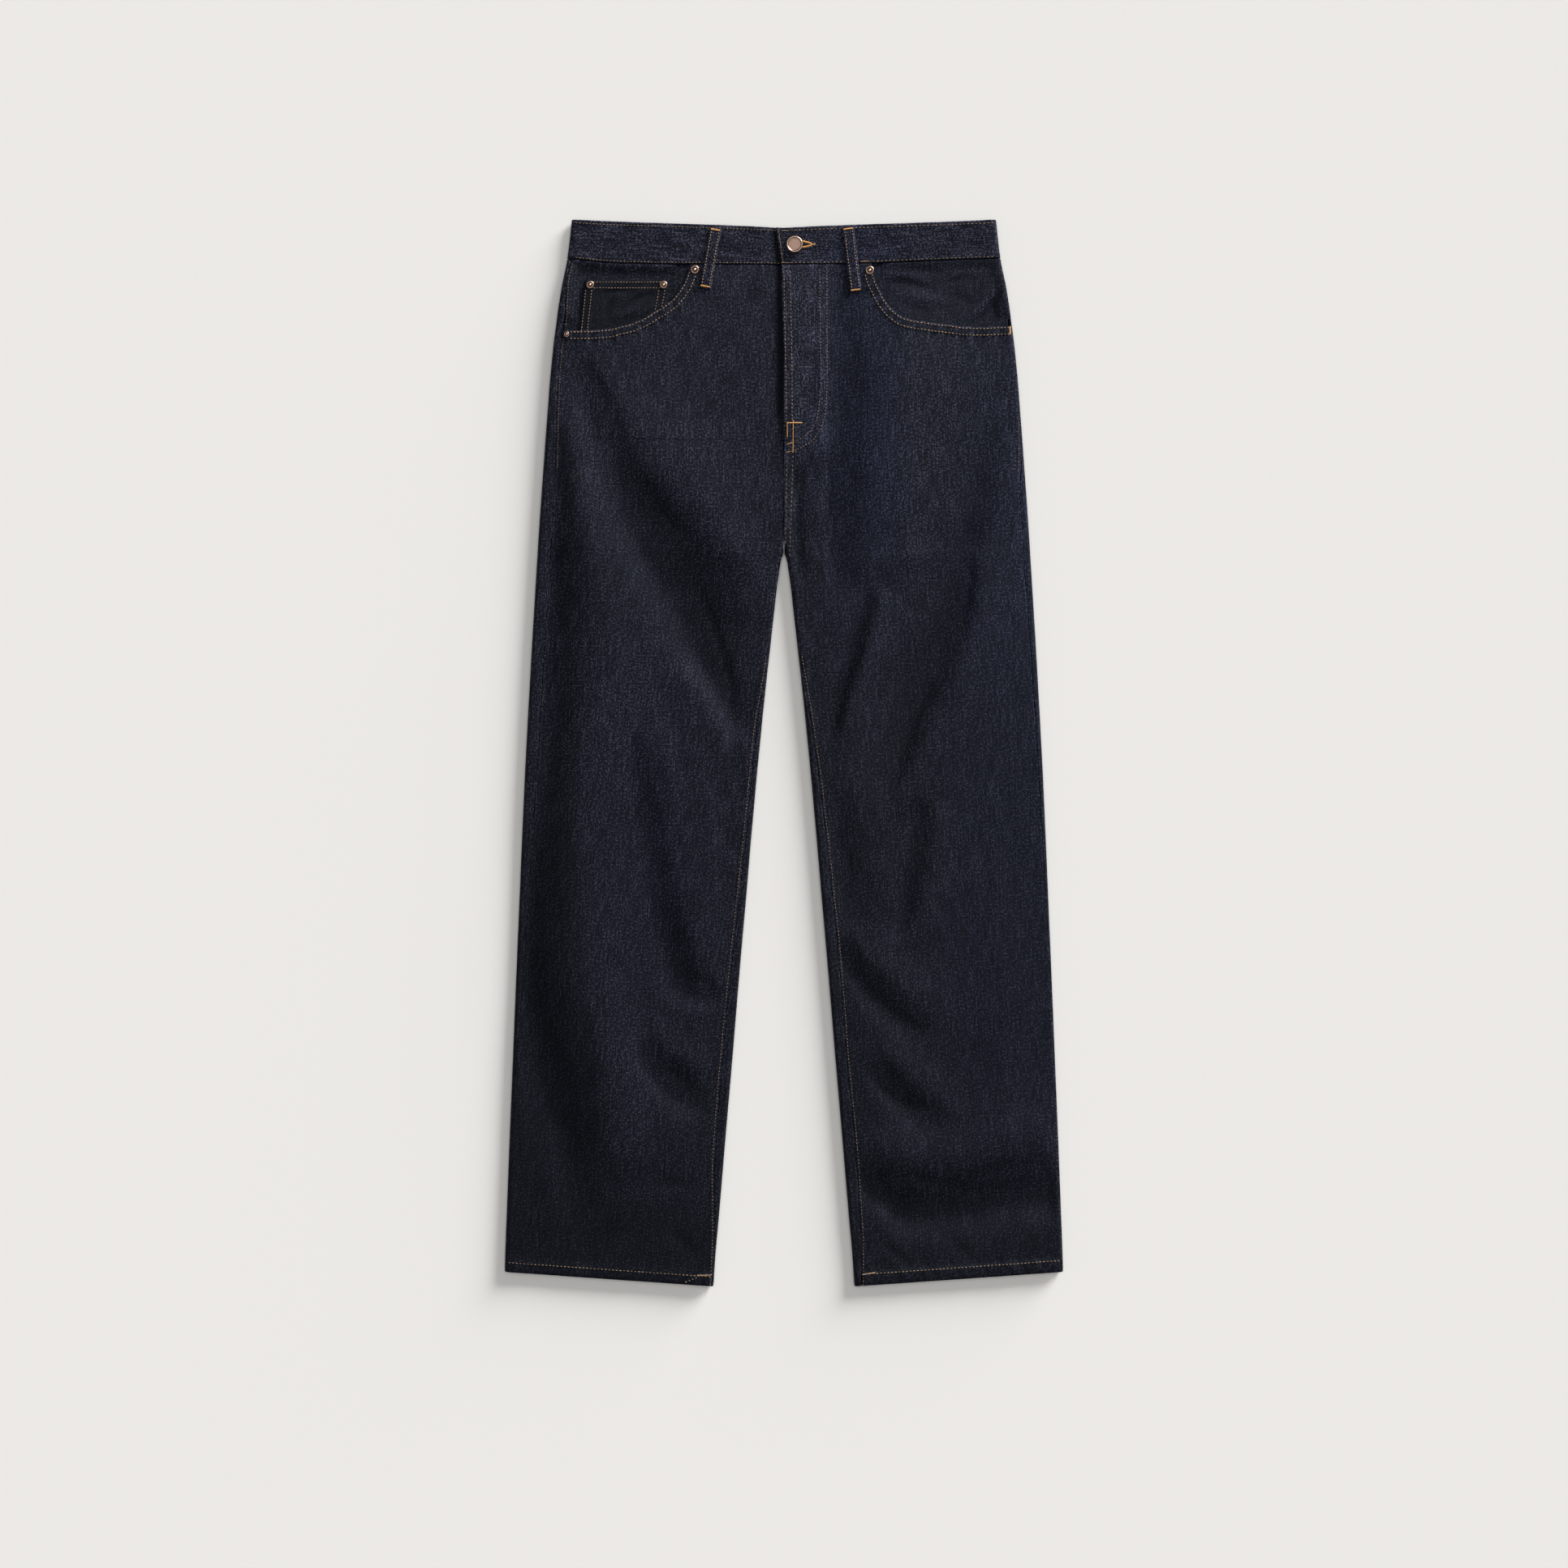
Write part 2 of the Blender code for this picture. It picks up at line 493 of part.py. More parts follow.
    def back_row(self, line):
        """Points of the back across one row: outseam, under the outer edge, over the floor, inseam."""
        wall = wall_of(line)
        rise = smooth((CROTCH_Y + CROTCH_RISE - line(0)) / CROTCH_RISE) if line(0) > CROTCH_Y else 1.0
        outer = Edge(self, line, wall, True)
        inner = Edge(self, line, wall, False, rise)
        from_seam = self.seam("outseam", line) - seam_gap(line)
        to_floor = -EDGE_ROLL / 2 - EDGE_FLOOR
        crowded = np.linspace(0, 1, EDGE_COLUMNS + 1) ** EDGE_CROWDING
        points = [outer.point(from_seam + (to_floor - from_seam) * share) for share in crowded]
        start, end = outer.middle - EDGE_FLOOR, inner.middle + EDGE_FLOOR
        points += [outer.floor(outer.middle - x) for x in np.linspace(start, end, FLOOR_COLUMNS + 1)[1:]]
        climb = EDGE_ROLL / 2 + self.seam("inseam", line) - seam_gap(line, at_crotch=True)
        climb *= rise
        for share in crowded[-2::-1]:
            cloth = climb - (climb + EDGE_FLOOR) * share
            points.append(inner.floor(-cloth) if cloth <= 0 else inner.point(cloth - EDGE_ROLL / 2))
        return points

    def yoke_seam(self, x):
        return along(YOKE_SEAM, x)

    def below_yoke(self, x):
        return self.yoke_seam(x) - GAP

    def below_waist(self, x):
        return self.waist(x) - GAP

    def back(self):
        top = self.below_yoke
        rows = [between(top, self.rows[0], step / TOP_ROWS) for step in range(TOP_ROWS)]
        return [self.back_row(line) for line in rows + self.rows + self.hem_rows]

    def yoke(self):
        rows = [between(self.below_waist, self.yoke_seam, step / YOKE_ROWS) for step in range(YOKE_ROWS + 1)]
        return [self.back_row(line) for line in rows]

    def facing_depth(self, x, y):
        """How far the facing lies below the front: level with it only at the side and waist seams."""
        full = LAYER + (LAYER * ramp(x, *COIN_ROOM_X) if self.side < 0 else 0.0)
        if y < along(self.mouth, x) or x < self.mouth[0][0]:
            return full
        seam_x = at("outer", y) - at(f"outseam_{self.name}", y)
        near = min(seam_x - x, self.waist(x) - y)
        shelf = 1 - smooth((off_line(self.mouth, x, y) - FACING_SHELF) / FACING_RAMP)
        return full * max(shelf, smooth(near / FACING_RAMP))

    def facing(self):
        """The facing behind the pocket's mouth, from under the front up to the waist seam."""
        left, down = FACING_UNDER

        def foot(x):
            return along(self.mouth, x + left) - down

        grid = []
        for step in range(FACING_ROWS + 1):
            line = between(self.below_waist, foot, step / FACING_ROWS)
            outer = Edge(self, line, WALL, True)
            end = outer.middle + EDGE_ROLL / 2 - self.seam("outseam", line) - FACING_GAP
            if line(end) < along(self.mouth, end) + FACING_SHELF:
                end = min(end, outer.middle) - GAP
            row = []
            for share in FACING_COLUMNS:
                x = self.mouth[0][0] - left + (end - self.mouth[0][0] + left) * share
                if x > outer.middle:
                    x, y, z = outer.point(EDGE_ROLL / 2 - (x - outer.middle))
                else:
                    y, z = line(x), self.height(x, line(x))
                row.append((x, y, z - self.facing_depth(x, y)))
            grid.append(row)
        return grid

    def coin_pocket(self):
        """The small patch pocket on the facing; its foot runs under the front."""
        grid = []
        for row in np.linspace(0, 1, COIN_ROWS + 1):
            points = []
            for column in np.linspace(0, 1, COIN_COLUMNS + 1):
                x = COIN_INNER[0] + (COIN_OUTER[0] - COIN_INNER[0]) * column
                for _ in range(3):
                    y = COIN_TOP_Y + (along(self.mouth, x) - COIN_UNDER - COIN_TOP_Y) * row
                    inner = COIN_INNER[0] + (COIN_TOP_Y - y) * COIN_INNER[1]
                    outer = COIN_OUTER[0] + (COIN_TOP_Y - y) * COIN_OUTER[1]
                    x = inner + (outer - inner) * column
                points.append((x, y, self.height(x, y) - self.facing_depth(x, y) + LAYER))
            grid.append(points)
        return grid

    def placed_grid(self, grid):
        return [[self.placed(point) for point in row] for row in grid]


def band_height(x, lapping):
    """Height of the waistband's middle on the front; the left end laps over the right."""
    level = at("height", BAND_LEVEL_Y)
    if lapping:
        return level + (FLAP_HEIGHT - level) * ramp(x, *FLAP_RAMP_X)
    return level + (UNDERLAP_HEIGHT - level) * ramp(x, *UNDERLAP_RAMP_X)


def band_turn(side, line, end):
    """Points of the waistband round the side, from the front to the back."""
    high, low = at("height", BAND_LEVEL_Y), band_floor(end, line(end))
    points = []
    for angle in np.linspace(0, math.pi, BAND_COLUMNS["side"] + 1)[1:-1]:
        x = end + EDGE_REACH * math.sin(angle)
        points.append((side * x, line(x), (high + low) / 2 + (high - low) / 2 * math.cos(angle)))
    return points


def band_floor(x, y):
    return BAND_WALL / 2 + back_lift(x, y)


def band_end(line):
    """x at which the waistband starts to turn under."""
    x = WAIST_TOP[-1][0]
    for _ in range(3):
        x = at("outer", line(x))
    return x - EDGE_REACH - BAND_WALL / 2


def band_row(share):
    """Points round the waistband at one height: right end, side, back, side, left end."""
    right = between(waist_seam(-1), waist_top, share)
    left = between(waist_seam(1), waist_top, share)
    right_end, left_end = band_end(right), band_end(left)
    underlap = np.linspace(UNDERLAP_END, UNDERLAP_FROM, BAND_COLUMNS["underlap"] + 1)
    over = np.linspace(UNDERLAP_FROM, -right_end, BAND_COLUMNS["right"] + 1)[1:]
    points = [(x, right(x), band_height(x, False)) for x in (*underlap, *over)]
    points += band_turn(-1, right, right_end)
    for x in np.linspace(-right_end, left_end, BAND_COLUMNS["back"] + 1):
        drop = BACK_TOP_DROP * share * (1 - (x / WAIST_TOP[-1][0]) ** 2)
        y = (right if x < 0 else left)(x) - drop
        points.append((x, y, band_floor(x, y)))
    points += band_turn(1, left, left_end)[::-1]
    flap = FLAP_END[0] + (FLAP_END[1] - FLAP_END[0]) * share
    over = np.linspace(left_end, FLAP_RAMP_X[0], BAND_COLUMNS["left"] + 1)
    return points + [(x, left(x), band_height(x, True)) for x in (*over, *FLAP_COLUMNS, flap)]


def surface_top(x, y):
    """Top of the cloth at x, y: the waistband or a front."""
    side = 1 if x > 0 else -1
    leg = LEGS[side]
    if y >= leg.waist(x):
        return band_height(x, side > 0) + BAND_WALL / 2
    return leg.height(abs(x), y) + WALL / 2


def new_object(name, mesh, colour, roughness, metallic=0.0):
    material = bpy.data.materials.new(name)
    material.use_nodes = True
    shader = material.node_tree.nodes["Principled BSDF"]
    shader.inputs["Base Color"].default_value = (*colour, 1)
    shader.inputs["Roughness"].default_value = roughness
    shader.inputs["Metallic"].default_value = metallic
    mesh.materials.append(material)
    part = bpy.data.objects.new(name, mesh)
    bpy.context.scene.collection.objects.link(part)
    return part


def cloth(name, grid, wall=WALL, thick_rows=0, thick_wall=WALL):
    """A sheet through a grid of points, thickened both ways; its last rows may be thicker."""
    rows, columns = len(grid), len(grid[0])
    points = [tuple(c * MM for c in point) for row in grid for point in row]
    faces = [(i * columns + j, i * columns + j + 1, (i + 1) * columns + j + 1, (i + 1) * columns + j)
             for i in range(rows - 1) for j in range(columns - 1)]
    mesh = bpy.data.meshes.new(name)
    mesh.from_pydata(points, [], faces)
    mesh.shade_smooth()
    part = new_object(name, mesh, DENIM, 0.85)
    thicken = part.modifiers.new("wall", "SOLIDIFY")
    thicken.offset = 0
    thicken.use_even_offset = True
    thicken.thickness = wall * MM
    if thick_rows:
        group = part.vertex_groups.new(name="thick")
        group.add(range((rows - thick_rows) * columns, rows * columns), 1.0, "REPLACE")
        thicken.vertex_group = group.name
        thicken.thickness = thick_wall * MM
        thicken.thickness_vertex_group = wall / thick_wall
    return part


def strip(name, ends, width, wall, height_at, arch=0.0, rows=8):
    """A straight strip of cloth from one end to the other, lying on what is below it."""
    (x0, y0), (x1, y1) = ends
    length = math.hypot(x1 - x0, y1 - y0)
    across = ((y0 - y1) / length * width / 2, (x1 - x0) / length * width / 2)
    grid = []
    for share in np.linspace(0, 1, rows + 1):
        x, y = x0 + (x1 - x0) * share, y0 + (y1 - y0) * share
        z = max(height_at(x + s * across[0], y + s * across[1]) for s in (-1, 0, 1))
        z += GAP + wall / 2 + arch * math.sin(math.pi * share)
        grid.append([(x + s * across[0], y + s * across[1], z) for s in (-1, 0, 1)])
    return cloth(name, grid, wall)


def back_pocket(leg):
    """A pointed patch, flat on the floor under the back."""
    half = list(BACK_POCKET_HALF)
    outline = half + [(-x, y) for x, y in reversed(half[:-1])]
    cos, sin = math.cos(BACK_POCKET_TILT), math.sin(BACK_POCKET_TILT)
    mesh = bpy.data.meshes.new("back_pocket")
    shape = bmesh.new()
    corners = []
    for x, y in outline:
        placed = (BACK_POCKET_CENTRE[0] + x * cos + y * sin, BACK_POCKET_CENTRE[1] - x * sin + y * cos)
        corners.append(shape.verts.new((leg.side * placed[0] * MM, placed[1] * MM, 0)))
    face = shape.faces.new(corners)
    raised = bmesh.ops.extrude_face_region(shape, geom=[face])["geom"]
    moved = [item for item in raised if isinstance(item, bmesh.types.BMVert)]
    bmesh.ops.translate(shape, verts=moved, vec=(0, 0, WALL * MM))
    bmesh.ops.recalc_face_normals(shape, faces=shape.faces)
    shape.to_mesh(mesh)
    shape.free()
    return new_object(f"back_pocket_{leg.name}", mesh, DENIM, 0.85)


def turned(name, place, radius, profile, base, segments=12):
    """A metal cap turned from its profile, with its foot at base."""
    shape = bmesh.new()
    rings = []
    for share, height in profile:
        ring = []
        for step in range(segments):
            angle = 2 * math.pi * step / segments
            x = place[0] + radius * share * math.cos(angle)
            y = place[1] + radius * share * math.sin(angle)
            ring.append(shape.verts.new((x * MM, y * MM, (base + radius * height) * MM)))
        rings.append(ring)
    for low, high in zip(rings, rings[1:]):
        for step in range(segments):
            after = (step + 1) % segments
            shape.faces.new((low[step], low[after], high[after], high[step]))
    shape.faces.new(rings[-1])
    shape.faces.new(rings[0][::-1])
    bmesh.ops.recalc_face_normals(shape, faces=shape.faces)
    mesh = bpy.data.meshes.new(name)
    shape.to_mesh(mesh)
    shape.free()
    mesh.shade_smooth()
    mesh.set_sharp_from_angle(angle=math.radians(35))
    return new_object(name, mesh, COPPER, 0.35, metallic=1.0)


def seat(x, y, radius, height_at):
    """Where a cap's foot rests: just above the highest cloth under its rim."""
    rim = [height_at(x + radius * math.cos(a), y + radius * math.sin(a))
           for a in np.linspace(0, 2 * math.pi, 9)]
    return max(rim) + GAP


def coin_top(x, y):
    leg = LEGS[-1]
    return leg.height(abs(x), y) - leg.facing_depth(abs(x), y) + LAYER + WALL / 2


def below_floor(x, y):
    """A strip that is placed over this rests on the floor itself."""
    return -GAP


def front_top_surface(x, y):
    """Top of the front alone, also past its own top edge."""
    return LEGS[1 if x > 0 else -1].height(abs(x), y) + WALL / 2


DOWN = [np.array(sorted(rows), float) for rows in FOLDS_DOWN.values()]
ACROSS = [np.array(sorted(rows), float) for rows in FOLDS_ACROSS.values()]
LEGS = {side: Leg(side) for side in (-1, 1)}


def build():
    for part in list(bpy.data.objects):
        bpy.data.objects.remove(part, do_unlink=True)
    for leg in LEGS.values():
        cloth(f"front_{leg.name}", leg.placed_grid(leg.front()), WALL, 2, HEM_WALL)
        cloth(f"back_{leg.name}", leg.placed_grid(leg.back()), WALL, 2, HEM_WALL)
        cloth(f"yoke_{leg.name}", leg.placed_grid(leg.yoke()))
        cloth(f"pocket_facing_{leg.name}", leg.placed_grid(leg.facing()))
        back_pocket(leg)
    cloth("coin_pocket", LEGS[-1].placed_grid(LEGS[-1].coin_pocket()))
    cloth("waistband", [band_row(share) for share in np.linspace(0, 1, BAND_ROWS + 1)], BAND_WALL)
    for name, ends in LOOPS.items():
        strip(name, ends, LOOP_WIDTH, LOOP_WALL, surface_top, LOOP_ARCH)
    for name, (top, bottom) in BACK_LOOPS.items():
        ends = ((top, BACK_LOOP_Y[0]), (bottom, BACK_LOOP_Y[1]))
        strip(name, ends, LOOP_WIDTH, LIFT - GAP, below_floor, rows=1)
    for name, (x, y, radius) in RIVETS.items():
        height_at = coin_top if "coin" in name else front_top_surface
        turned(name, (x, y), radius, RIVET_PROFILE, seat(x, y, radius, height_at))
    base = seat(*BUTTON_PLACE, BUTTON_RADIUS, surface_top)
    turned("button", BUTTON_PLACE, BUTTON_RADIUS, BUTTON_PROFILE, base, segments=24)


build()
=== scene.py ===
"""Looks of the laid-out jeans: denim shells with their folds and puckers, sewing, metal, floor and light.

Each shell follows the formulas of its solid and adds the finer folds. Sizes are millimetres until a mesh
is made. +X is the wearer's left, +Y runs to the waist and +Z up; the jeans lie on z = 0.
"""
import math

import bpy
import numpy as np
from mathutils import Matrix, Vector
from mathutils.bvhtree import BVHTree


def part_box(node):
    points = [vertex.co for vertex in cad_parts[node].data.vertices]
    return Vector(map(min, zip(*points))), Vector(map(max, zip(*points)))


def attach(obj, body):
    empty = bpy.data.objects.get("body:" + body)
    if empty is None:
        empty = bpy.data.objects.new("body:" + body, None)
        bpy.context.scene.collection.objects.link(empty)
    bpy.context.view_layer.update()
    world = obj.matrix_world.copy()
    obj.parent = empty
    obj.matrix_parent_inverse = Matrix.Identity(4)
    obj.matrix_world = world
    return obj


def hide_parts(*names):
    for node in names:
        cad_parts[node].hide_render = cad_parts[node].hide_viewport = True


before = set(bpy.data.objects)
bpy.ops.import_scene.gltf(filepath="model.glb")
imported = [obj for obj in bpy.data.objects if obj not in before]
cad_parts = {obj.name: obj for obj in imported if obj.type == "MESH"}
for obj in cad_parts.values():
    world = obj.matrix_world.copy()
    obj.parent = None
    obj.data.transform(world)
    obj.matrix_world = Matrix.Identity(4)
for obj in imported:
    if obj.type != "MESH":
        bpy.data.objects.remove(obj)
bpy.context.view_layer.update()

MM = 0.001

# ---- cloth, as in the solids ----
WALL = 1.25
HEM_WALL = 2.9
BAND_WALL = 2.6
LOOP_WALL = 1.5
GAP = 0.3
LAYER = 1.8
HEM_THINS = (12.0, 13.5)  # height above the hem's edge over which its doubled cloth ends
EDGE_REACH = 3.0
EDGE_ROLL = 9.2
LIFT = 1.6
LIFT_X = (203.0, 222.0)
LIFT_Y = (192.0, 222.0)

# outer, inner: the outline's distance from the centre line; height: of the front cloth's middle at the
# edges, and crown: how much higher it lies away from them; the seams' columns: how far each seam lies in
# from the leg's edge, measured on the cloth.
STATION_COLUMNS = (
    "y", "outer", "inner", "height", "crown", "outseam_right", "outseam_left", "inseam_right", "inseam_left")
STATIONS = np.array((
    (538, 214.0, 0.0, 7.2, 0, 5.0, 2.0, 2.0, 2.0),
    (498, 218.7, 0.0, 7.6, 0, 5.0, 2.0, 2.0, 2.0),
    (481, 222.0, 0.0, 8.8, 0.1, 4.3, 2.0, 2.0, 2.0),
    (465, 225.1, 0.0, 9.4, 0.2, 6.0, 2.0, 2.0, 2.0),
    (432, 229.8, 0.0, 9.6, 0.6, 8.5, 2.0, 2.0, 2.0),
    (399, 233.8, 0.0, 9.6, 1.0, 8.5, 2.0, 2.0, 2.0),
    (350, 238.0, 0.0, 9.4, 1.4, 10.0, 2.0, 2.0, 2.0),
    (288, 242.6, 0.0, 9.2, 1.8, 13.0, 4.7, 2.0, 2.0),
    (252, 245.2, 0.0, 9.0, 2.0, 14.0, 8.0, 2.0, 2.0),
    (204, 248.4, 0.0, 8.9, 2.3, 14.2, 8.0, 2.0, 2.0),
    (197, 248.8, 2.2, 8.9, 2.4, 14.2, 8.0, 2.0, 2.0),
    (186, 249.5, 4.3, 8.8, 2.5, 14.2, 8.0, 2.0, 2.0),
    (145, 252.0, 9.4, 8.7, 2.8, 14.0, 7.5, 2.0, 2.0),
    (104, 254.5, 14.0, 8.6, 3.0, 13.7, 7.0, 2.0, 2.2),
    (63, 256.8, 18.6, 8.5, 3.1, 13.7, 6.5, 3.5, 4.3),
    (22, 259.1, 22.8, 8.4, 3.2, 13.6, 6.0, 6.2, 6.7),
    (-60, 263.1, 30.6, 8.3, 3.3, 12.0, 5.0, 6.4, 9.6),
    (-142, 266.6, 37.7, 8.2, 3.3, 10.0, 4.0, 8.0, 11.5),
    (-224, 270.1, 44.9, 8.2, 3.3, 7.8, 3.0, 9.6, 12.5),
    (-306, 273.4, 51.7, 8.2, 3.3, 5.0, 2.0, 10.8, 12.0),
    (-388, 276.7, 58.8, 8.2, 3.0, 2.0, 2.0, 10.3, 12.9),
    (-470, 279.9, 65.7, 8.2, 1.2, 2.0, 2.0, 5.0, 11.7),
    (-511, 281.4, 69.3, 8.0, 0.3, 2.0, 2.0, 2.2, 9.5),
    (-544, 282.5, 71.3, 7.8, 0.0, 2.0, 2.0, 2.0, 7.0)))

CROTCH_Y = 204.0
CROTCH_RISE = 10.0
CROTCH_BLEND = 14.0  # the front's inner edge starts to roll under over this length
CROTCH_GAP = 0.35
HEM_GAP = 0.3
HEM_INNER = (70.9, -538.3)
HEM_OUTER = (281.7, -523.6)

WAIST_SEAM = {
    -1: ((0, 492.0), (100, 492.4), (155, 493.1), (214, 497.7)),
    1: ((0, 492.0), (62, 492.8), (130, 495.3), (219, 498.6))}
WAIST_TOP = ((0, 529.3), (62, 532.2), (160, 535.5), (214, 537.9))
BACK_TOP_DROP = 1.5
FLAP_END = (-2.9, -8.0)
UNDERLAP_END = 30.0
FLAP_HEIGHT = 9.0
FLAP_RISE_X = (58.0, 36.0)
UNDERLAP_HEIGHT = 6.0
UNDERLAP_FALL_X = (-20.0, -8.0)
BAND_LEVEL_Y = 510.0

FLY_RAISE = 2.4
FLY_WIDTH = 43.0
FLY_RAMP = 16.0
FLY_BOTTOM_Y = 312.0
FLY_FADE = 40.0
FLY_LEAN_Y = (384.0, 484.0)
FLY_LEAN = 2.0
FLY_UNDERLAP = 8.0
SEAM_RAISE = 0.9
SEAM_RAISED_X = (4.0, 12.0)
RAISE_ENDS_Y = (229.0, 209.0)

MOUTH = {
    -1: ((94.7, 492.3), (98.0, 480.5), (106.2, 465.1), (116.4, 453.9), (130.8, 444.6),
         (147.2, 435.4), (163.6, 430.3), (186.0, 426.3), (205.0, 425.6), (219.5, 425.6)),
    1: ((88.2, 493.2), (91.3, 478.9), (95.9, 468.4), (103.9, 453.5), (112.8, 443.6),
        (123.8, 437.5), (141.7, 434.3), (164.4, 431.5), (195.0, 429.0), (222.0, 430.0))}
FACING_UNDER = (9.0, 11.0)
COIN_ROOM_X = (100.0, 114.0)
FACING_SHELF = 7.0
FACING_RAMP = 12.0
FACING_GAP = 0.5
COIN_TOP_Y = 477.0
COIN_INNER = (116.4, 0.19)
COIN_OUTER = (200.3, 0.106)
COIN_UNDER = 10.0

YOKE_SEAM = ((0, 417.0), (120, 440.0), (245, 458.0))
FIRST_LEG_ROW_Y = 365.0
BACK_POCKET_CENTRE = (104.0, 320.0)
BACK_POCKET_TILT = math.radians(4.0)
BACK_POCKET_HALF = ((70.0, 74.0), (63.0, -50.0), (0.0, -76.0))

LOOP_WIDTH = 11.5
LOOP_ARCH = 1.0
LOOP_CLEAR = 0.12  # between a loop and the cloth below it
LOOPS = {
    "right": ((-68.7, 528.5), (-79.3, 468.6)),
    "left": ((64.7, 529.5), (72.5, 465.0))}
BACK_LOOPS = {"right": (-122.0, -119.0), "centre": (0.0, 0.0), "left": (122.0, 119.0)}
BACK_LOOP_Y = (528.0, 473.0)

# ---- folds of the solids ----
# Down the leg: y, x of the fold's line, its width towards -x and towards +x, its height.
FOLDS_DOWN = {
    "long valley of the right thigh": (
        (410, -214, 10, 14, 0), (340, -192, 16, 30, -4.5), (299, -178, 22, 42, -5.5),
        (258, -160, 26, 52, -7.5), (217, -140, 28, 58, -9), (176, -118, 28, 56, -9.5),
        (135, -98, 26, 46, -9.5), (94, -80, 22, 34, -9), (53, -60, 16, 22, -6.5), (8, -42, 12, 12, 0)),
    "right hip above it": (
        (400, -190, 30, 40, 0), (340, -166, 30, 60, 3), (299, -136, 36, 60, 5), (258, -102, 42, 60, 5.5),
        (217, -66, 45, 40, 5.5), (176, -44, 45, 30, 4), (130, -36, 30, 20, 0)),
    "crest of the right leg's side": (
        (345, -217, 14, 16, 0), (299, -212, 16, 26, 4), (217, -198, 26, 36, 6.5), (135, -187, 36, 40, 8),
        (53, -186, 40, 40, 8), (-29, -194, 38, 42, 8), (-111, -202, 36, 42, 8), (-193, -200, 40, 42, 8.5),
        (-275, -188, 46, 40, 9), (-357, -174, 46, 40, 9), (-423, -172, 40, 36, 5), (-485, -172, 34, 30, 0)),
    "valley of the right shin's side": (
        (-60, -266, 12, 20, 0), (-130, -264, 13, 26, -3), (-193, -262, 14, 30, -5.5),
        (-275, -253, 16, 34, -8), (-357, -234, 20, 32, -8), (-423, -214, 24, 28, -4),
        (-480, -204, 22, 26, 0)),
    "valley beside the right outseam": (
        (330, -222, 7, 12, 0), (290, -225, 7, 14, -2.5), (217, -229, 8, 18, -4), (135, -234, 8, 24, -4.5),
        (53, -239, 9, 26, -4.5), (-29, -244, 9, 24, -3.5), (-111, -250, 9, 22, -2.5), (-200, -256, 9, 20, 0)),
    "valley of the right knee": (
        (24, -152, 9, 12, 0), (-29, -148, 14, 20, -3), (-70, -143, 15, 22, -3.5), (-111, -137, 16, 22, -3),
        (-152, -129, 16, 24, -3.5), (-193, -118, 18, 26, -4.5), (-230, -106, 18, 28, -4.5),
        (-262, -92, 14, 24, 0)),
    "crest of the right knee": (
        (30, -134, 16, 24, 0), (-29, -124, 16, 26, 2.4), (-111, -110, 18, 28, 2.8), (-193, -90, 22, 26, 3.4),
        (-248, -74, 18, 18, 0)),
    "valley beside the fly's edge": (
        (492, -6, 8, 5, -1.4), (440, -6, 9, 5, -2.2), (340, -5, 9, 5, -2.2), (300, -4, 8, 4, 0)),
    "valley beside the crotch seam": (
        (290, 12, 4, 6, 0), (262, 13, 5, 7, -2), (200, 14, 5, 7, -2.4), (165, 18, 4, 6, 0)),
    "valley beside the placket": (
        (485, 48, 5, 20, -0.8), (400, 47, 5, 28, -3), (300, 46, 5, 30, -3.8), (217, 48, 6, 28, -3.8),
        (150, 54, 8, 20, 0)),
    "crest of the left hip": (
        (470, 122, 40, 50, 0), (381, 122, 56, 60, 5.5), (340, 112, 50, 60, 6), (299, 100, 42, 60, 6.5),
        (258, 91, 34, 60, 6.5), (217, 84, 28, 60, 5.5), (165, 80, 24, 40, 0)),
    "inner valley of the left thigh": (
        (165, 87, 6, 9, 0), (135, 80, 7, 12, -2.6), (86, 66, 7, 12, -3.6), (37, 51, 7, 10, -2.8),
        (5, 44, 6, 8, 0)),
    "inner crest of the left thigh": (
        (170, 100, 8, 14, 0), (135, 93, 9, 15, 2.2), (86, 79, 9, 16, 2.8), (37, 64, 8, 14, 2.2),
        (-5, 52, 7, 10, 0)),
    "long valley of the left thigh": (
        (325, 208, 14, 14, 0), (299, 202, 16, 18, -2.5), (233, 190, 20, 24, -5), (176, 172, 24, 32, -7),
        (130, 159, 26, 36, -8), (78, 137, 26, 36, -8), (20, 117, 20, 30, -7), (-21, 105, 16, 22, -4.5),
        (-60, 96, 10, 14, 0)),
    "long crest of the left thigh": (
        (325, 224, 14, 14, 0), (299, 222, 18, 16, 2.4), (233, 213, 22, 24, 4), (176, 201, 28, 30, 6),
        (130, 194, 32, 34, 6.5), (78, 178, 32, 36, 6.5), (20, 152, 26, 36, 5.5), (-21, 131, 20, 32, 4),
        (-65, 116, 14, 24, 0)),
    "valley of the left knee": (
        (-48, 142, 8, 10, 0), (-74, 138, 9, 13, -2.8), (-111, 131, 10, 15, -3.6), (-160, 120, 10, 15, -3.4),
        (-194, 112, 8, 12, 0)),
    "crest of the left knee": (
        (-48, 156, 12, 18, 0), (-74, 152, 13, 20, 2), (-111, 147, 14, 22, 3), (-160, 138, 14, 22, 2.8),
        (-200, 128, 12, 18, 0)),
    "inner valley of the left knee": (
        (-36, 57, 10, 16, 0), (-70, 57, 11, 20, -2.6), (-111, 58, 11, 24, -3.4), (-150, 62, 11, 22, -2.6),
        (-185, 68, 10, 16, 0))}
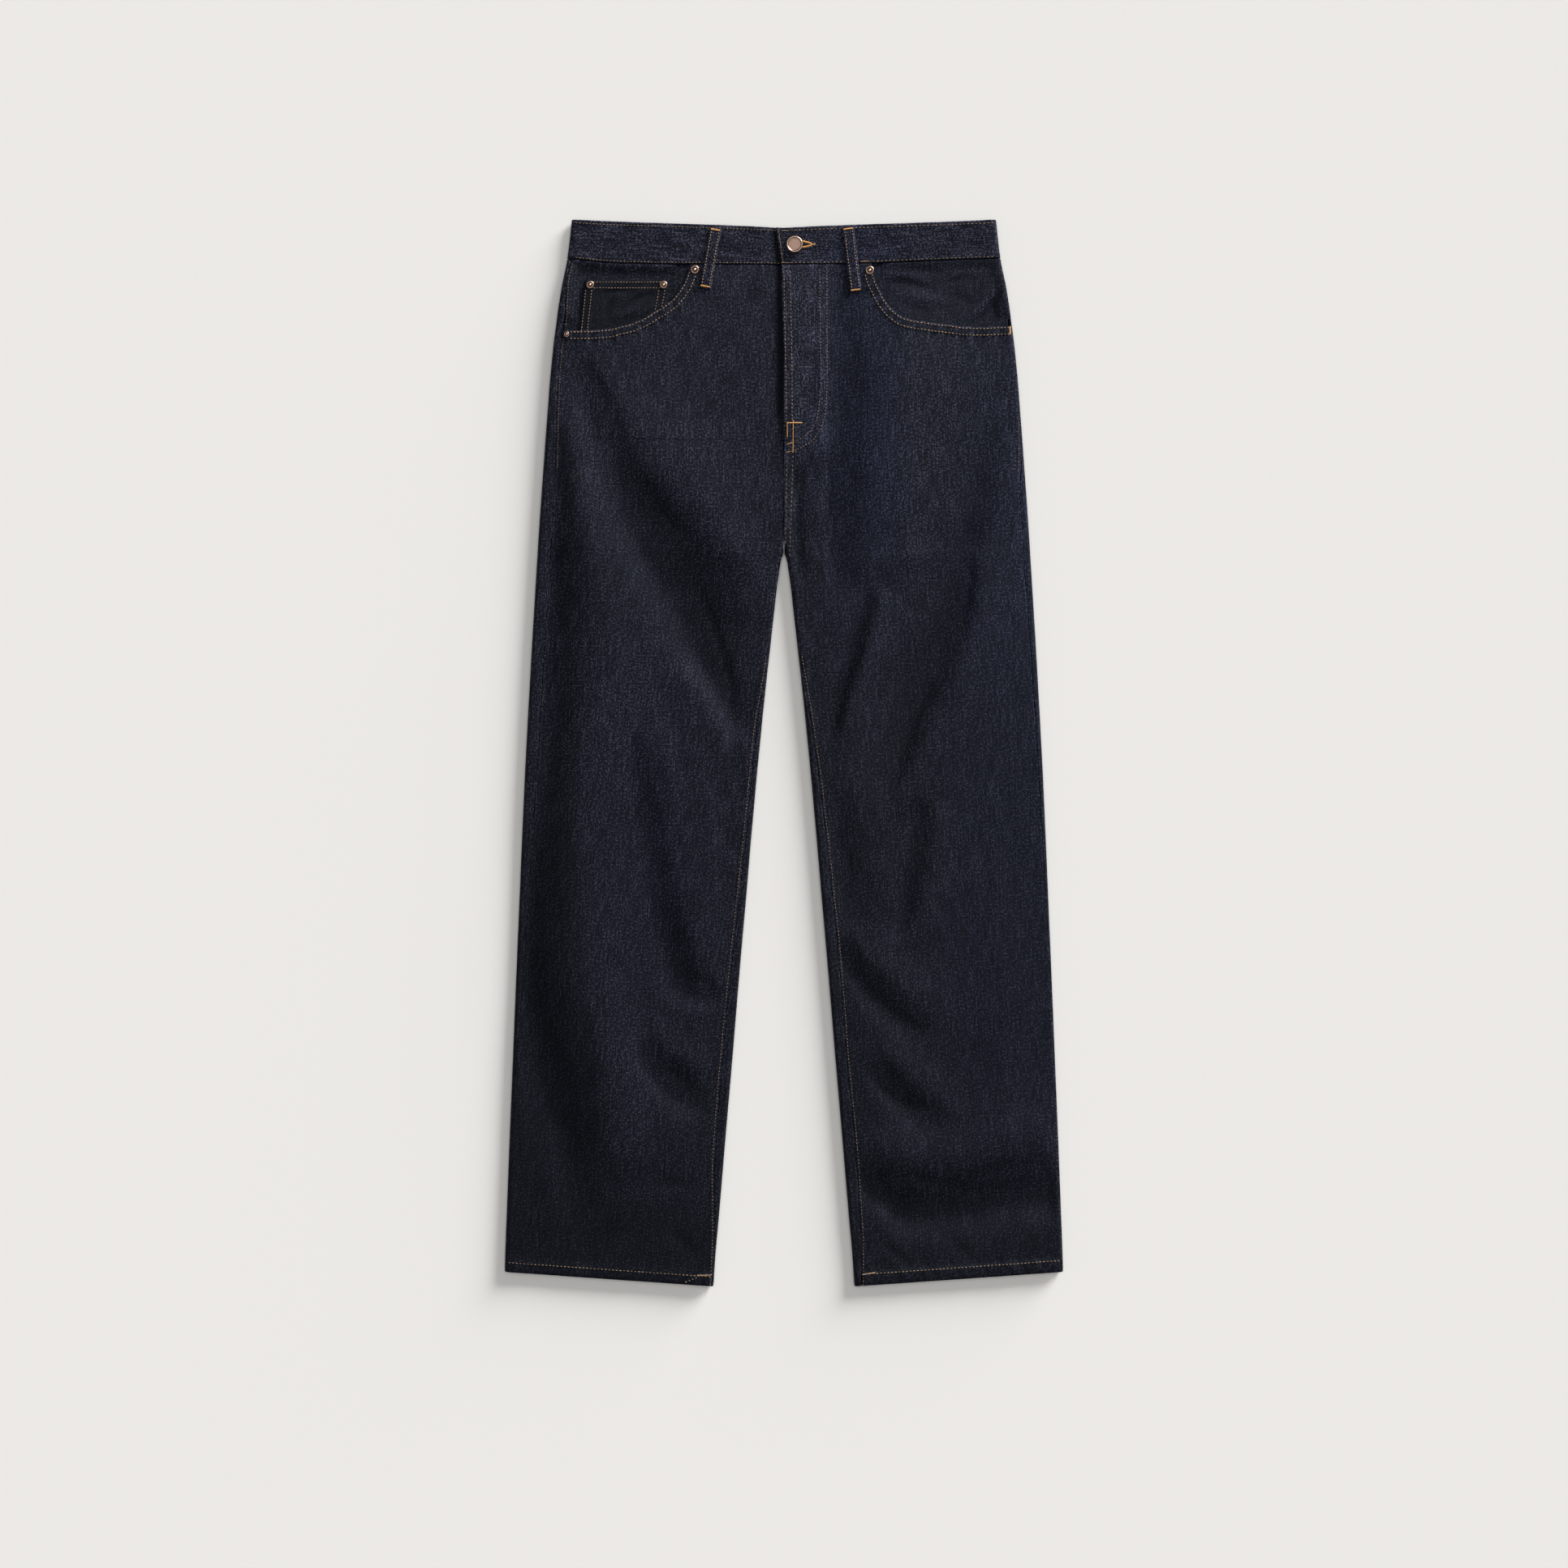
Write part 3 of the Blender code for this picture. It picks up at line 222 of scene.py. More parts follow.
# Across the leg: x, y of the fold's line, its width towards the hem and towards the waist, its height.
FOLDS_ACROSS = {
    "first valley of the left shin": (
        (50, -198, 9, 14, 0), (68, -224, 12, 20, -2.8), (92, -252, 16, 26, -3.6), (118, -274, 16, 24, -2.2),
        (150, -292, 10, 16, 0)),
    "first crest of the left shin": (
        (62, -180, 12, 16, 0), (85, -206, 16, 20, 1.8), (116, -232, 18, 26, 2.2), (150, -258, 16, 26, 1.2),
        (185, -278, 12, 20, 0)),
    "second valley of the left shin": (
        (76, -318, 9, 12, 0), (92, -330, 12, 18, -1.6), (112, -350, 15, 24, -3), (134, -366, 14, 22, -2),
        (160, -380, 9, 14, 0)),
    "second crest of the left shin": (
        (96, -296, 10, 14, 0), (118, -318, 14, 20, 1.8), (146, -340, 16, 24, 2), (190, -362, 12, 20, 0)),
    "valley over the left hem": (
        (66, -430, 10, 14, 0), (96, -450, 14, 26, -4.5), (130, -468, 18, 34, -6), (190, -462, 20, 36, -5.5),
        (250, -450, 20, 36, -4.5), (290, -444, 16, 30, -4)),
    "crest over the left hem": (
        (66, -384, 20, 20, 0), (110, -404, 30, 26, 3), (160, -408, 36, 30, 4), (230, -396, 38, 36, 4),
        (290, -386, 38, 36, 3)),
    "valley of the right shin": (
        (-152, -304, 10, 14, 0), (-136, -324, 14, 24, -2.6), (-116, -342, 14, 28, -3.6),
        (-92, -354, 12, 22, -2.4), (-74, -358, 8, 12, 0)),
    "crest of the right shin": (
        (-140, -276, 12, 16, 0), (-116, -296, 16, 20, 2.2), (-90, -312, 16, 20, 2), (-72, -318, 12, 14, 0))}
FOLD_MARGIN = 14.0
CROWN_FALL = 55.0  # the loft falls to a leg's edge over this width
INNER_MARGIN_Y = (216.0, 196.0)
LEG_BEGINS_Y = (264.0, 174.0)
SEAT_BEGINS_Y = (150.0, 200.0)
REST_HEIGHT = (2.4, 4.2)

# ---- finer creases, each fading to both ends: x0, y0, x1, y1, bow, half width, height ----
CREASES = (
    (-86, 166, -50, 56, 3, 5, -1.5),
    (-55, 84, -48, -40, -2, 4, -0.8),
    (-50, 40, -44, -70, 2, 3, -0.6),
    (-126, 30, -116, -40, 3, 8, 0.9),
    (-107, -226, -72, -238, 4, 5, -0.8),
    (-122, -318, -86, -348, 3, 6, -0.9),
    (-138, -436, -84, -442, 4, 7, -0.8),
    (-118, -480, -88, -512, 2, 6, -0.9),
    (-205, 398, -160, 300, 6, 7, -1.2),
    (-150, 285, -90, 210, -5, 7, -1.2),
    (-190, 330, -150, 220, -5, 8, 0.8),
    (-238, 250, -226, 110, 4, 7, -1.0),
    (-214, 90, -240, -90, -5, 8, -1.0),
    (-205, -250, -196, -420, 4, 8, -0.9),
    (-92, 20, -70, -150, 5, 9, 0.8),
    (-85, -160, -78, -330, -5, 8, 0.7),
    (-240, -300, -236, -480, 4, 9, 0.7),
    (-160, -260, -150, -400, 4, 9, 0.7),
    (-200, 10, -206, -170, -6, 9, 0.8),
    (86, 160, 50, 12, -4, 5, -1.4),
    (188, 204, 174, 105, 4, 6, -1.0),
    (172, 105, 106, -44, -7, 7, -1.4),
    (140, -46, 120, -176, -4, 5, -1.2),
    (62, -96, 68, -132, 1, 4, -0.8),
    (88, -38, 77, -70, 1, 4, -0.7),
    (72, -220, 156, -286, -10, 6, -1.1),
    (82, -322, 156, -358, -12, 6, -1.0),
    (92, -428, 200, -446, 6, 7, -0.9),
    (180, -430, 268, -414, 5, 7, -0.8),
    (92, -492, 132, -522, 2, 5, -0.9),
    (150, -480, 190, -515, 3, 6, -0.6),
    (214, -470, 240, -512, 3, 6, -0.5),
    (70, 440, 66, 330, 3, 9, -0.8),
    (150, 330, 190, 250, 5, 8, -0.5),
    (120, 250, 140, 150, -4, 9, 0.5),
    (236, 240, 240, 60, -3, 6, 0.8),
    (214, 20, 228, -160, 4, 9, -0.7),
    (176, -60, 196, -200, 5, 9, 0.8),
    (100, -100, 96, -210, 3, 8, 0.6),
    (210, -240, 224, -400, 4, 10, 0.7),
    (120, -370, 128, -460, 3, 8, 0.6),
    (-40, 440, -24, 330, 3, 9, 0.5),
    (-70, 400, -52, 300, -4, 8, -0.5))
# Wrinkles of the facings and the coin pocket, measured likewise, but on the +X side.
FACING_FOLDS = {
    -1: ((110, 488, 190, 490, 1, 4, 0.4), (206, 480, 209, 430, 2, 4, 0.7), (204, 470, 204, 436, 1, 3, -0.6)),
    1: ((182, 434, 216, 474, -4, 4, 1.2), (188, 430, 222, 472, -4, 3, -1.0),
        (207, 462, 213, 432, 2, 3.5, -1.6), (97, 481, 146, 474, 4, 5, 1.1), (100, 474, 150, 466, 4, 4, -0.9),
        (110, 460, 170, 452, 3, 5, 0.8), (150, 486, 205, 484, -3, 5, 0.6), (160, 470, 200, 478, 4, 4, -0.7),
        (120, 448, 150, 440, 3, 4, -0.6), (125, 488, 170, 480, 2, 3, -0.5), (166, 462, 192, 448, 3, 4, -0.6))}
COIN_FOLDS = (
    (130, 462, 158, 448, 4, 3, -1.0), (140, 452, 176, 440, -3, 3.5, 0.9), (150, 464, 184, 462, 3, 3, -0.9),
    (168, 458, 180, 438, 3, 3, -1.0), (160, 470, 190, 468, 1, 3, 0.4), (126, 452, 150, 436, 2, 3, 0.7),
    (182, 456, 190, 434, -2, 3, 0.7))

# Soft unevenness of the fronts: height, size, seed, stretch.
UNEVEN_CLOTH = ((0.28, 34, 11, 1.8), (0.10, 13, 12, 1.6))
# Puckers along a sewn line: their middle's distance off it, reach, pitch, height.
MOUTH_PUCKERS = (-10, 8, 9.5, 0.65)
FINE_MOUTH_PUCKERS = (-4, 4, 6.5, 0.16)
J_PUCKERS = (3.5, 5, 8.5, 0.35)
FLY_EDGE_PUCKERS = (5, 5, 7.5, 0.35)
WAIST_PUCKERS = (0.22, 9.0, 10.0, 0.2)  # height, reach, pitch, slant
# Roping of the hems: height, pitch, slant, seed; its middle and reach above the hem's edge.
HEM_ROPES = (0.42, 12.5, 0.8, 31)
FINE_HEM_ROPES = (0.14, 6.5, 0.5, 33)
ROPING_MIDDLE = 9.0
ROPING_REACH = 9.0
DOUBLED_RAISE = 0.5  # the mouth's doubled strip stands up by this much
DOUBLED_END = (8.2, 10.2)  # below the mouth
MOTTLE = 0.42  # height of the placket's mottling
MOTTLED_X = (43.0, 37.0)
MOTTLED_Y = (306.0, 326.0)

# ---- tones: how pale the cloth is, from about -3 to 2; much of it is painted light and painted shade ----
LEG_TONE = {  # y, tone
    -1: ((-540, -2.9), (-360, -2.1), (-200, -1.8), (-60, -1.5), (60, -0.9), (180, -0.9), (340, -0.4),
         (540, -0.4)),
    1: ((-540, -1.9), (-360, -2.2), (-200, -1.8), (-60, -1.5), (60, -1.2), (180, -0.8), (340, -0.3),
        (540, -0.3))}
# Painted shade and painted light: stretches made darker or paler than their folds alone, given as x, y, reach
# across and down, tone.
PAINTED_SHADE_PATCHES = (
    (-178, 170, 36, 80, -1.3), (-224, -120, 22, 80, -1.8), (-212, -330, 24, 90, -1.7),
    (-124, -100, 20, 60, 0.7), (-168, -80, 24, 70, -0.5), (-258, -330, 16, 130, -3.4),
    (-180, -480, 90, 26, -1.5), (-226, 300, 10, 26, -2.8), (118, -244, 40, 26, 0.6))
TONE_STEP = 1.36  # one step of tone makes the cloth paler by this factor
TONE_LIMITS = (-3.5, 2.0)
# Painted light on the folds' ridges and painted shade in their troughs: millimetres of fold for one step of
# tone.
RIDGE_PAINTED_LIGHT = 12.0  # millimetres of fold for one step of tone
TROUGH_PAINTED_SHADE = 6.5
# Painted light and shade on creases and puckers: millimetres of crease or pucker for one step of tone.
CREASE_PAINTED_SHADING = 2.0
PUCKER_PAINTED_SHADING = 0.45
HEM_TONE = 0.9
HEM_TONE_Y = (-440.0, -520.0)
# Painted shade on the right shin's outer side, the side turned away from the light.
SHIN_EDGE_PAINTED_SHADE = 2.0
SHIN_EDGE_X = (228.0, 252.0)
SHIN_EDGE_Y = (-160.0, -240.0)
PLACKET_TONE = 1.5
PLACKET_MOTTLE = 0.8
PLACKET_SIDE_X = (47.0, 39.0)
PLACKET_FOOT_Y = (290.0, 320.0)
PAINTED_GAP_SHADOW = -6.0  # painted shadow beside a lapping edge and along the waistband's foot
FLY_GAP_X = (4.5, 8.0)
FLY_GAP_Y = (332.0, 352.0)
BAND_GAP = (2.5, 5.5)
BAND_FOOT = (0.4, 2.0)
MOUTH_STRIP_TONE = 0.9  # darker between the mouth's two rows
MOUTH_STRIP_START = (0.8, 2.4)
MOUTH_STRIP_END = (7.6, 9.6)
# Painted shade on the facings, recessed under the pocket's mouth, and painted light and shade along their
# wrinkles.
FACING_PAINTED_SHADE = {-1: -1.2, 1: -1.9}
FACING_WRINKLE_PAINTED_SHADING = (1.8, -2.4, 1.8)  # steps for a millimetre, darkest, palest
# Painted shade on the coin pocket, recessed under the pocket's mouth, and painted light and shade along its
# wrinkles.
COIN_PAINTED_SHADE = -4.3
COIN_WRINKLE_PAINTED_SHADING = (2.2, -2.4, 2.2)
COIN_UNEVEN_TONE = 0.5
COIN_STRIP_TONE = 0.8  # darker between its rows
COIN_STRIP = (8.0, 10.0)
BAND_TONE = 0.9
BAND_UNEVEN_TONE = 0.8
# Painted light and shade along the band's diagonal wrinkles.
BAND_WRINKLE_PAINTED_SHADING = 0.4
RIM_WEAR_AND_HIGHLIGHT = 2.2  # width of an edge's paler line, partly edge wear and partly a painted highlight where the edge catches the light
RIM_TONE = 3.0
# Bluer, less worn stretches: x, y of the middle, reach across and down, strength.
BLUER = ((80, 330, 46, 190, 1.0), (228, 30, 62, 420, 0.8), (-140, -120, 60, 160, 0.25))

# ---- sewing: all rows and tacks ----
STITCH_SHARE = 0.62  # a stitch's length, as a share of its pitch
THREAD = 0.34  # radius
HEAVY_THREAD = 0.41
ROW_INSET = 1.6  # first row from an edge
ROW_APART = 6.6  # second row from the first
# Pitch and how pale the thread is, then its radius and a stitch's share where they aren't the usual ones.
MOUTH_STITCH = (3.5, 0.52, HEAVY_THREAD)
HEM_STITCH = {-1: (3.7, 0.32, 0.38), 1: (3.7, 0.40, 0.38)}
INSEAM_STITCH = (3.4, 0.22, 0.28)
FLY_EDGE_STITCH = (3.8, 0.27, 0.38)
J_STITCH = (3.15, 0.26)
CROTCH_STITCH = (4.4, 0.2)
LOOSE_STITCH = (3.0, 0.55)
HIP_STITCH = (2.9, 0.12, 0.26)
HIP_TACK_STITCH = (2.2, 0.3, 0.26)
FACING_STITCH = (2.9, 0.3, 0.26)
BAND_STITCH = {-1: (3.45, 0.26, 0.38), 1: (4.05, 0.26, 0.38)}
FLAP_STITCH = (1.9, 0.6)
COIN_STITCH = (2.98, 0.42, 0.38)
LOOP_STITCH = (2.97, 0.58, 0.40)
SOLID = 1.35  # pitch and share of stitches that run together
SOLID_SHARE = 0.95
FLY_END_STITCH = (SOLID, 0.98, 0.38, SOLID_SHARE)
BAND_MEND_STITCH = (SOLID, 0.8, THREAD, SOLID_SHARE)

MOUTH_SEWN_TO = {-1: 216.5, 1: 228.2}
HEM_ROW = {-1: 9.8, 1: 11.8}  # above the hem's edge
HEM_ROW_ENDS = (-528.0, -520.0)  # y of the leg's inner and outer edge there
HEM_ROW_INSET = 3.0
INSEAM_ROW = 1.4  # beside the inseam
INSEAM_ROW_Y = (98.0, -538.0)
OUTSEAM_ROW = 1.2  # beside the outseam
HIP_ROW_Y = {-1: (424.0, 287.0), 1: (340.0, 284.0)}  # where the row starts and ends
HIP_TACK = 24.0  # length of its closer, brighter end
FACING_ROW_Y = (494.0, 431.0)
FACING_ROW = 1.5  # beside the outseam
# Both ends of each bartack through the hem, and the loose row beside the right one.
HEM_TACKS = {-1: (((-87.5, -526.9), (-72.4, -526.5)),), 1: (((77.2, -526.4), (92.5, -524.0)),)}
HEM_THREAD = ((-100.5, -534.3), (-86.8, -528.7))
SIDE_TACK = ((228.0, 430.6), (228.0, 421.6))
FLY_TACK = ((3.0, 332.3), (18.8, 332.3))
FLY_EDGE_ROWS = (1.7, 8.0)  # inside the fly's edge
CROTCH_ROWS = (((3.1, 300), (1.2, 205.0)), ((9.2, 300), (5.7, 197.0)))
# Solid ends of the fly's rows.
FLY_ENDS = (
    ((3.3, 333.0), (3.3, 317.7)), ((9.3, 335.5), (9.1, 302.0)), ((2.7, 310.5), (9.6, 312.4)),
    ((2.7, 302.4), (9.3, 303.8)))
# Where the waistband's rows start and end, for each side, and how far up the band they lie.
BAND_ROW_X = {-1: (-211.0, 13.5), 1: (212.0, -2.5)}
BAND_ROWS = (0.05, 0.915)
FLAP_ROW = (0.05, 0.9)
FLAP_ROW_INSET = 2.2
# A close stretch of the band's lower row, beside the left loop.
BAND_MEND = ((77.6, 495.2), (85.8, 495.6))
COIN_TOP_ROWS = (2.4, 8.3)  # below the coin pocket's top
COIN_TOP_ROW_X = (-118.0, -199.0)
COIN_SIDE_ROWS = (1.6, 7.6)  # inside its sides
COIN_SIDE_ROW_DROP = (10.0, 62.0)
LOOP_ROW = 3.85  # off the loop's middle line
LOOP_ROW_END = 3.2
LOOP_TACK = 1.4  # inside the loop's end
LOOP_TACK_HALF = 4.8
# The buttonhole's keyhole, from the button's middle.
KEYHOLE = (
    (6.0, 3.4), (10.5, 2.6), (15.5, 1.3), (18.6, 0.6), (19.0, -0.4), (15.5, -1.6), (10.5, -2.6),
    (6.0, -3.4))
KEYHOLE_TIP = 19.4
KEYHOLE_PITCH = 0.5
# Loose ends at its tip: direction and length.
TIP_ENDS = ((-38, 1.9), (-14, 2.8), (6, 2.2), (24, 3.0), (52, 1.8))

# ---- grids ----
CELL = 2.4  # a front's cells
BACK_CELL = 4.0
FACING_CELL = 2.2
COIN_CELL = 1.8
BAND_CELL = (2.6, 2.1)  # along and across the waistband
LOOP_CELL = (1.5, 1.0)
RIM = (0.0, 0.08, 0.3, 0.62, 1.0)  # where the columns of a rounded rim lie, as shares of its radius
# Rough lengths along the cloth, which set how many cells it has.
FRONT_WIDTH = 250.0
FRONT_TOP_LENGTH = 95.0  # from the first row of the leg up to the front's top
BACK_TOP_LENGTH = 80.0
YOKE_LENGTH = 60.0
YOKE_MIDDLE_Y = 450.0
FACING_SIZE = (130.0, 85.0)
COIN_SIZE = (88.0, 50.0)
BAND_WIDTH = 38.0
SEAM_STRIP = 34.0  # a back's close columns along each seam
SEAM_CELL = 1.1
BACK_MIDDLE = 180.0
BACK_COLUMN = 6.0
EVEN_FALL = 60.0  # below the first leg row, columns even out over this height
LEG_MIDDLE = 150.0  # x where a row's height above the hem is read
LEG_SPAN = (40.0, 240.0)  # first guess at a leg's edges
SIDE_TOP_Y = 427.0
SETTLING = 4  # rounds in which an edge's place settles
TRACK_SOFTNESS = 6
FAR = 1e3

# ---- formulas shared with the solids ----
def smooth(t):
    """0 below 0, 1 above 1, and an even S between them."""
    t = np.clip(t, 0.0, 1.0)
    return t * t * (3 - 2 * t)


def ramp(x, start, end):
    """0 at start, 1 at end, and an even S between them."""
    return smooth((x - start) / (end - start))


def mix(first, second, share):
    return first * (1 - share) + second * share


def through(points, x):
    """A smooth line through points, read at x; it never swings past a point."""
    xs, ys = np.array(points, float).T
    step = np.diff(xs)
    rise = np.diff(ys) / step
    product = rise[:-1] * rise[1:]
    total = np.where(product > 0, rise[:-1] + rise[1:], 1.0)
    slope = np.concatenate(([rise[0]], np.where(product > 0, 2 * product / total, 0.0), [rise[-1]]))
    at_x = np.clip(x, xs[0], xs[-1])
    i = np.clip(np.searchsorted(xs, at_x) - 1, 0, len(xs) - 2)
    t = (at_x - xs[i]) / step[i]
    start = ys[i] + t * step[i] * slope[i]
    end = ys[i + 1] - (1 - t) * step[i] * slope[i + 1]
    return mix(start, end, smooth(t))


def at(column, y):
    """A column of the station table, read at height y."""
    values = STATIONS[:, STATION_COLUMNS.index(column)]
    return through(np.stack((-STATIONS[:, 0], values), 1), -np.asarray(y, float))


def off_segment(x, y, x0, y0, x1, y1):
    """How far along a segment, from 0 to 1, and how far off it each x, y lies."""
    dx, dy = x1 - x0, y1 - y0
    share = np.clip(((x - x0) * dx + (y - y0) * dy) / (dx * dx + dy * dy), 0.0, 1.0)
    return share, np.hypot(x - x0 - share * dx, y - y0 - share * dy)


def off_line(points, x, y):
    """Distance from x, y to a line through points."""
    return np.min([off_segment(x, y, *a, *b)[1] for a, b in zip(points, points[1:])], axis=0)


def fold(rows, along, across):
    """Height of one long fold, whose line, widths and height are read from its rows."""
    rows = np.array(rows, float)
    rows = rows[np.argsort(rows[:, 0])]
    inside = (along > rows[0, 0]) & (along < rows[-1, 0])
    height = np.zeros(along.shape)
    line, before, beyond, rise = (through(rows[:, (0, k)], along[inside]) for k in (1, 2, 3, 4))
    off = across[inside] - line
    height[inside] = rise * np.exp(-(off / np.where(off < 0, before, beyond)) ** 2)
    return height


def folds(x, y):
    """Height that the solids' folds add at x, y."""
    x, y = np.broadcast_arrays(np.asarray(x, float), np.asarray(y, float))
    down = sum(fold(rows, y, x) for rows in FOLDS_DOWN.values())
    return down + sum(fold(rows, x, y) for rows in FOLDS_ACROSS.values())


def creases(rows, x, y):
    """Height that short creases add at x, y; each fades to both of its ends."""
    total = np.zeros_like(x)
    for x0, y0, x1, y1, bow, width, height in rows:
        length = math.hypot(x1 - x0, y1 - y0)
        ux, uy = (x1 - x0) / length, (y1 - y0) / length
        along = np.clip(((x - x0) * ux + (y - y0) * uy) / length, 0, 1)
        inside = 4 * along * (1 - along)
        across = (y - y0) * ux - (x - x0) * uy - bow * inside
        total += height * inside ** 0.8 * np.exp(-(across / width) ** 2)
    return total


def uneven(x, y, size, seed, stretch=1.0):
    """A soft, irregular field from about -1 to 1 with bumps of this size, longer along y by stretch."""
    waves = np.random.default_rng(seed).uniform(0, 1, (14, 3))
    total = np.zeros_like(x)
    for turn, pace, phase in waves:
        angle = math.pi * turn
        rate = 2 * math.pi / (size * (1.2 + 1.6 * pace))
        total += np.cos(rate * (x * math.cos(angle) + y * math.sin(angle) / stretch) + 2 * math.pi * phase)
    return total / math.sqrt(len(waves) * 2)


def bluer(x, y):
    """How much bluer the cloth is at x, y, from 0 to 1."""
    total = np.zeros_like(x)
    for middle_x, middle_y, across, down, strength in BLUER:
        total += strength * np.exp(-((x - middle_x) / across) ** 4 - ((y - middle_y) / down) ** 4)
    return np.clip(total, 0, 1)


def back_lift(x, y):
    return LIFT * (1 - ramp(np.abs(x), *LIFT_X)) * ramp(y, *LIFT_Y)


def waist_seam(side, x):
    return through(WAIST_SEAM[side], np.abs(x))


def waist_top(x):
    return through(WAIST_TOP, np.abs(x))


def hem(x):
    slope = (HEM_OUTER[1] - HEM_INNER[1]) / (HEM_OUTER[0] - HEM_INNER[0])
    return HEM_INNER[1] + slope * (np.abs(x) - HEM_INNER[0])


def past_hem(depth):
    """0 in the hem and 1 above it, this far above the hem's edge."""
    return ramp(depth, *HEM_THINS)


def wall_at(depth):
    """Wall of a leg's cloth, this far above the hem's edge."""
    return mix(HEM_WALL, WALL, past_hem(depth))


def height_above_hem(row_y, centre_y):
    """Height of each row above the hem, read halfway across the leg."""
    return row_y(np.full_like(centre_y, LEG_MIDDLE)) - hem(LEG_MIDDLE)


def limited(values, gain, low, high):
    return np.clip(values * gain, low, high)


def front_raise(side, x, y):
    """The left front lies over the right one: all of the fly, then only the seam."""
    if side < 0:
        return 0.0
    fly = 1 - smooth((x - FLY_WIDTH) / FLY_RAMP)
    seam = 1 - ramp(x, *SEAM_RAISED_X)
    down = smooth((FLY_BOTTOM_Y - y) / FLY_FADE)
    return (FLY_RAISE * fly * (1 - down) + SEAM_RAISE * seam * down) * (1 - ramp(y, *RAISE_ENDS_Y))


# ---- tracks: lines on the cloth for puckers and sewing ----
def lengths(x, y):
    """Length along a line up to each of its points."""
    return np.concatenate(([0.0], np.cumsum(np.hypot(np.diff(x), np.diff(y)))))


class Track:
    """A line on the cloth, with a point about every millimetre."""

    def __init__(self, x, y):
        self.x, self.y = x, y
        self.s = lengths(x, y)
        self.length = self.s[-1]

    def at(self, s):
        return np.interp(s, self.s, self.x), np.interp(s, self.s, self.y)

    def moved(self, distance):
        """The same line moved sideways: to its left for a positive distance."""
        dx, dy = np.gradient(self.x), np.gradient(self.y)
        length = np.hypot(dx, dy)
        return Track(self.x - dy / length * distance, self.y + dx / length * distance)

    def mirrored(self, side):
        return Track(self.x * side, self.y)

    def part(self, start, end):
        """The stretch between two lengths; a negative end counts from the far end."""
        end = end if end > 0 else self.length + end
        return Track(*self.at(np.linspace(start, end, max(3, int(end - start) + 1))))

    def measure(self, x, y, reach):
        """For each x, y: distance off the line, to its left positive, and how far along it lies."""
        off, along = np.full(x.shape, FAR), np.zeros(x.shape)
        near = (x > self.x.min() - reach) & (x < self.x.max() + reach)
        near &= (y > self.y.min() - reach) & (y < self.y.max() + reach)
        if near.any():
            px, py = x[near][:, None], y[near][:, None]
            closest = np.argmin((px - self.x) ** 2 + (py - self.y) ** 2, axis=1)
            dx, dy = np.gradient(self.x)[closest], np.gradient(self.y)[closest]
            gx, gy = x[near] - self.x[closest], y[near] - self.y[closest]
            off[near] = np.hypot(gx, gy) * np.where(dx * gy - dy * gx >= 0, 1.0, -1.0)
            along[near] = self.s[closest] + (gx * dx + gy * dy) / np.hypot(dx, dy)
        return off, along


def track(points):
    """A smooth line through a few points."""
    points = np.array(points, float)
    reach = lengths(*points.T)
    even = np.linspace(0, reach[-1], max(3, int(reach[-1]) + 1))
    x, y = (np.interp(even, reach, points[:, k]) for k in (0, 1))
    if len(points) > 2:
        soft = min(TRACK_SOFTNESS, len(even) // 3)
        window = np.hanning(2 * soft + 3)[1:-1]
        window /= window.sum()
        x, y = (np.convolve(np.pad(v, soft, "reflect", reflect_type="odd"), window, "valid") for v in (x, y))
    return Track(x, y)


def curve(xs, ys):
    return track(np.stack((xs, ys), 1))


def ripple(along, pitch, seed):
    """An uneven wave from -1 to 1."""
    a, b, c = np.random.default_rng(seed).uniform(0, 2 * math.pi, 3)
    t = 2 * math.pi * along / pitch
    return (np.sin(t + a + 1.1 * np.sin(0.31 * t + b)) + 0.55 * np.sin(0.57 * t + c)) / 1.55


def puckers(line, x, y, centre, reach, pitch, height, seed):
    """Short folds across a sewn line, strongest at this distance off it."""
    off, along = line.measure(x, y, reach * 3 + abs(centre))
    return height * np.exp(-((off - centre) / reach) ** 2) * ripple(along, pitch, seed)


# ---- a leg's cloth ----
def rimmed(length, cell, radius):
    """Shares from 0 to 1, one for each cell, with more at both ends to round the rims."""
    ends = np.array(RIM) * radius / length
    count = max(2, round((length - 2 * radius) / cell))
    middle = np.linspace(ends[-1], 1 - ends[-1], count + 1)[1:-1]
    return np.concatenate((ends, middle, 1 - ends[::-1]))


def roll_angle(past):
    """How far the cloth has turned, this length past the start of a roll."""
    return np.clip(math.pi * past / EDGE_ROLL, 0, math.pi)


def rolled(high, low, turn):
    """Height on a roll that turns from one layer down to the other."""
    return (high + low) / 2 + (high - low) / 2 * np.cos(turn)


def near_crotch(y):
    return np.abs(y - CROTCH_Y) < 2.5 * CROTCH_RISE


def mottled(x, y):
    """The placket's loose, mottled cloth."""
    return uneven(x, y, 10, 41, 1.5)


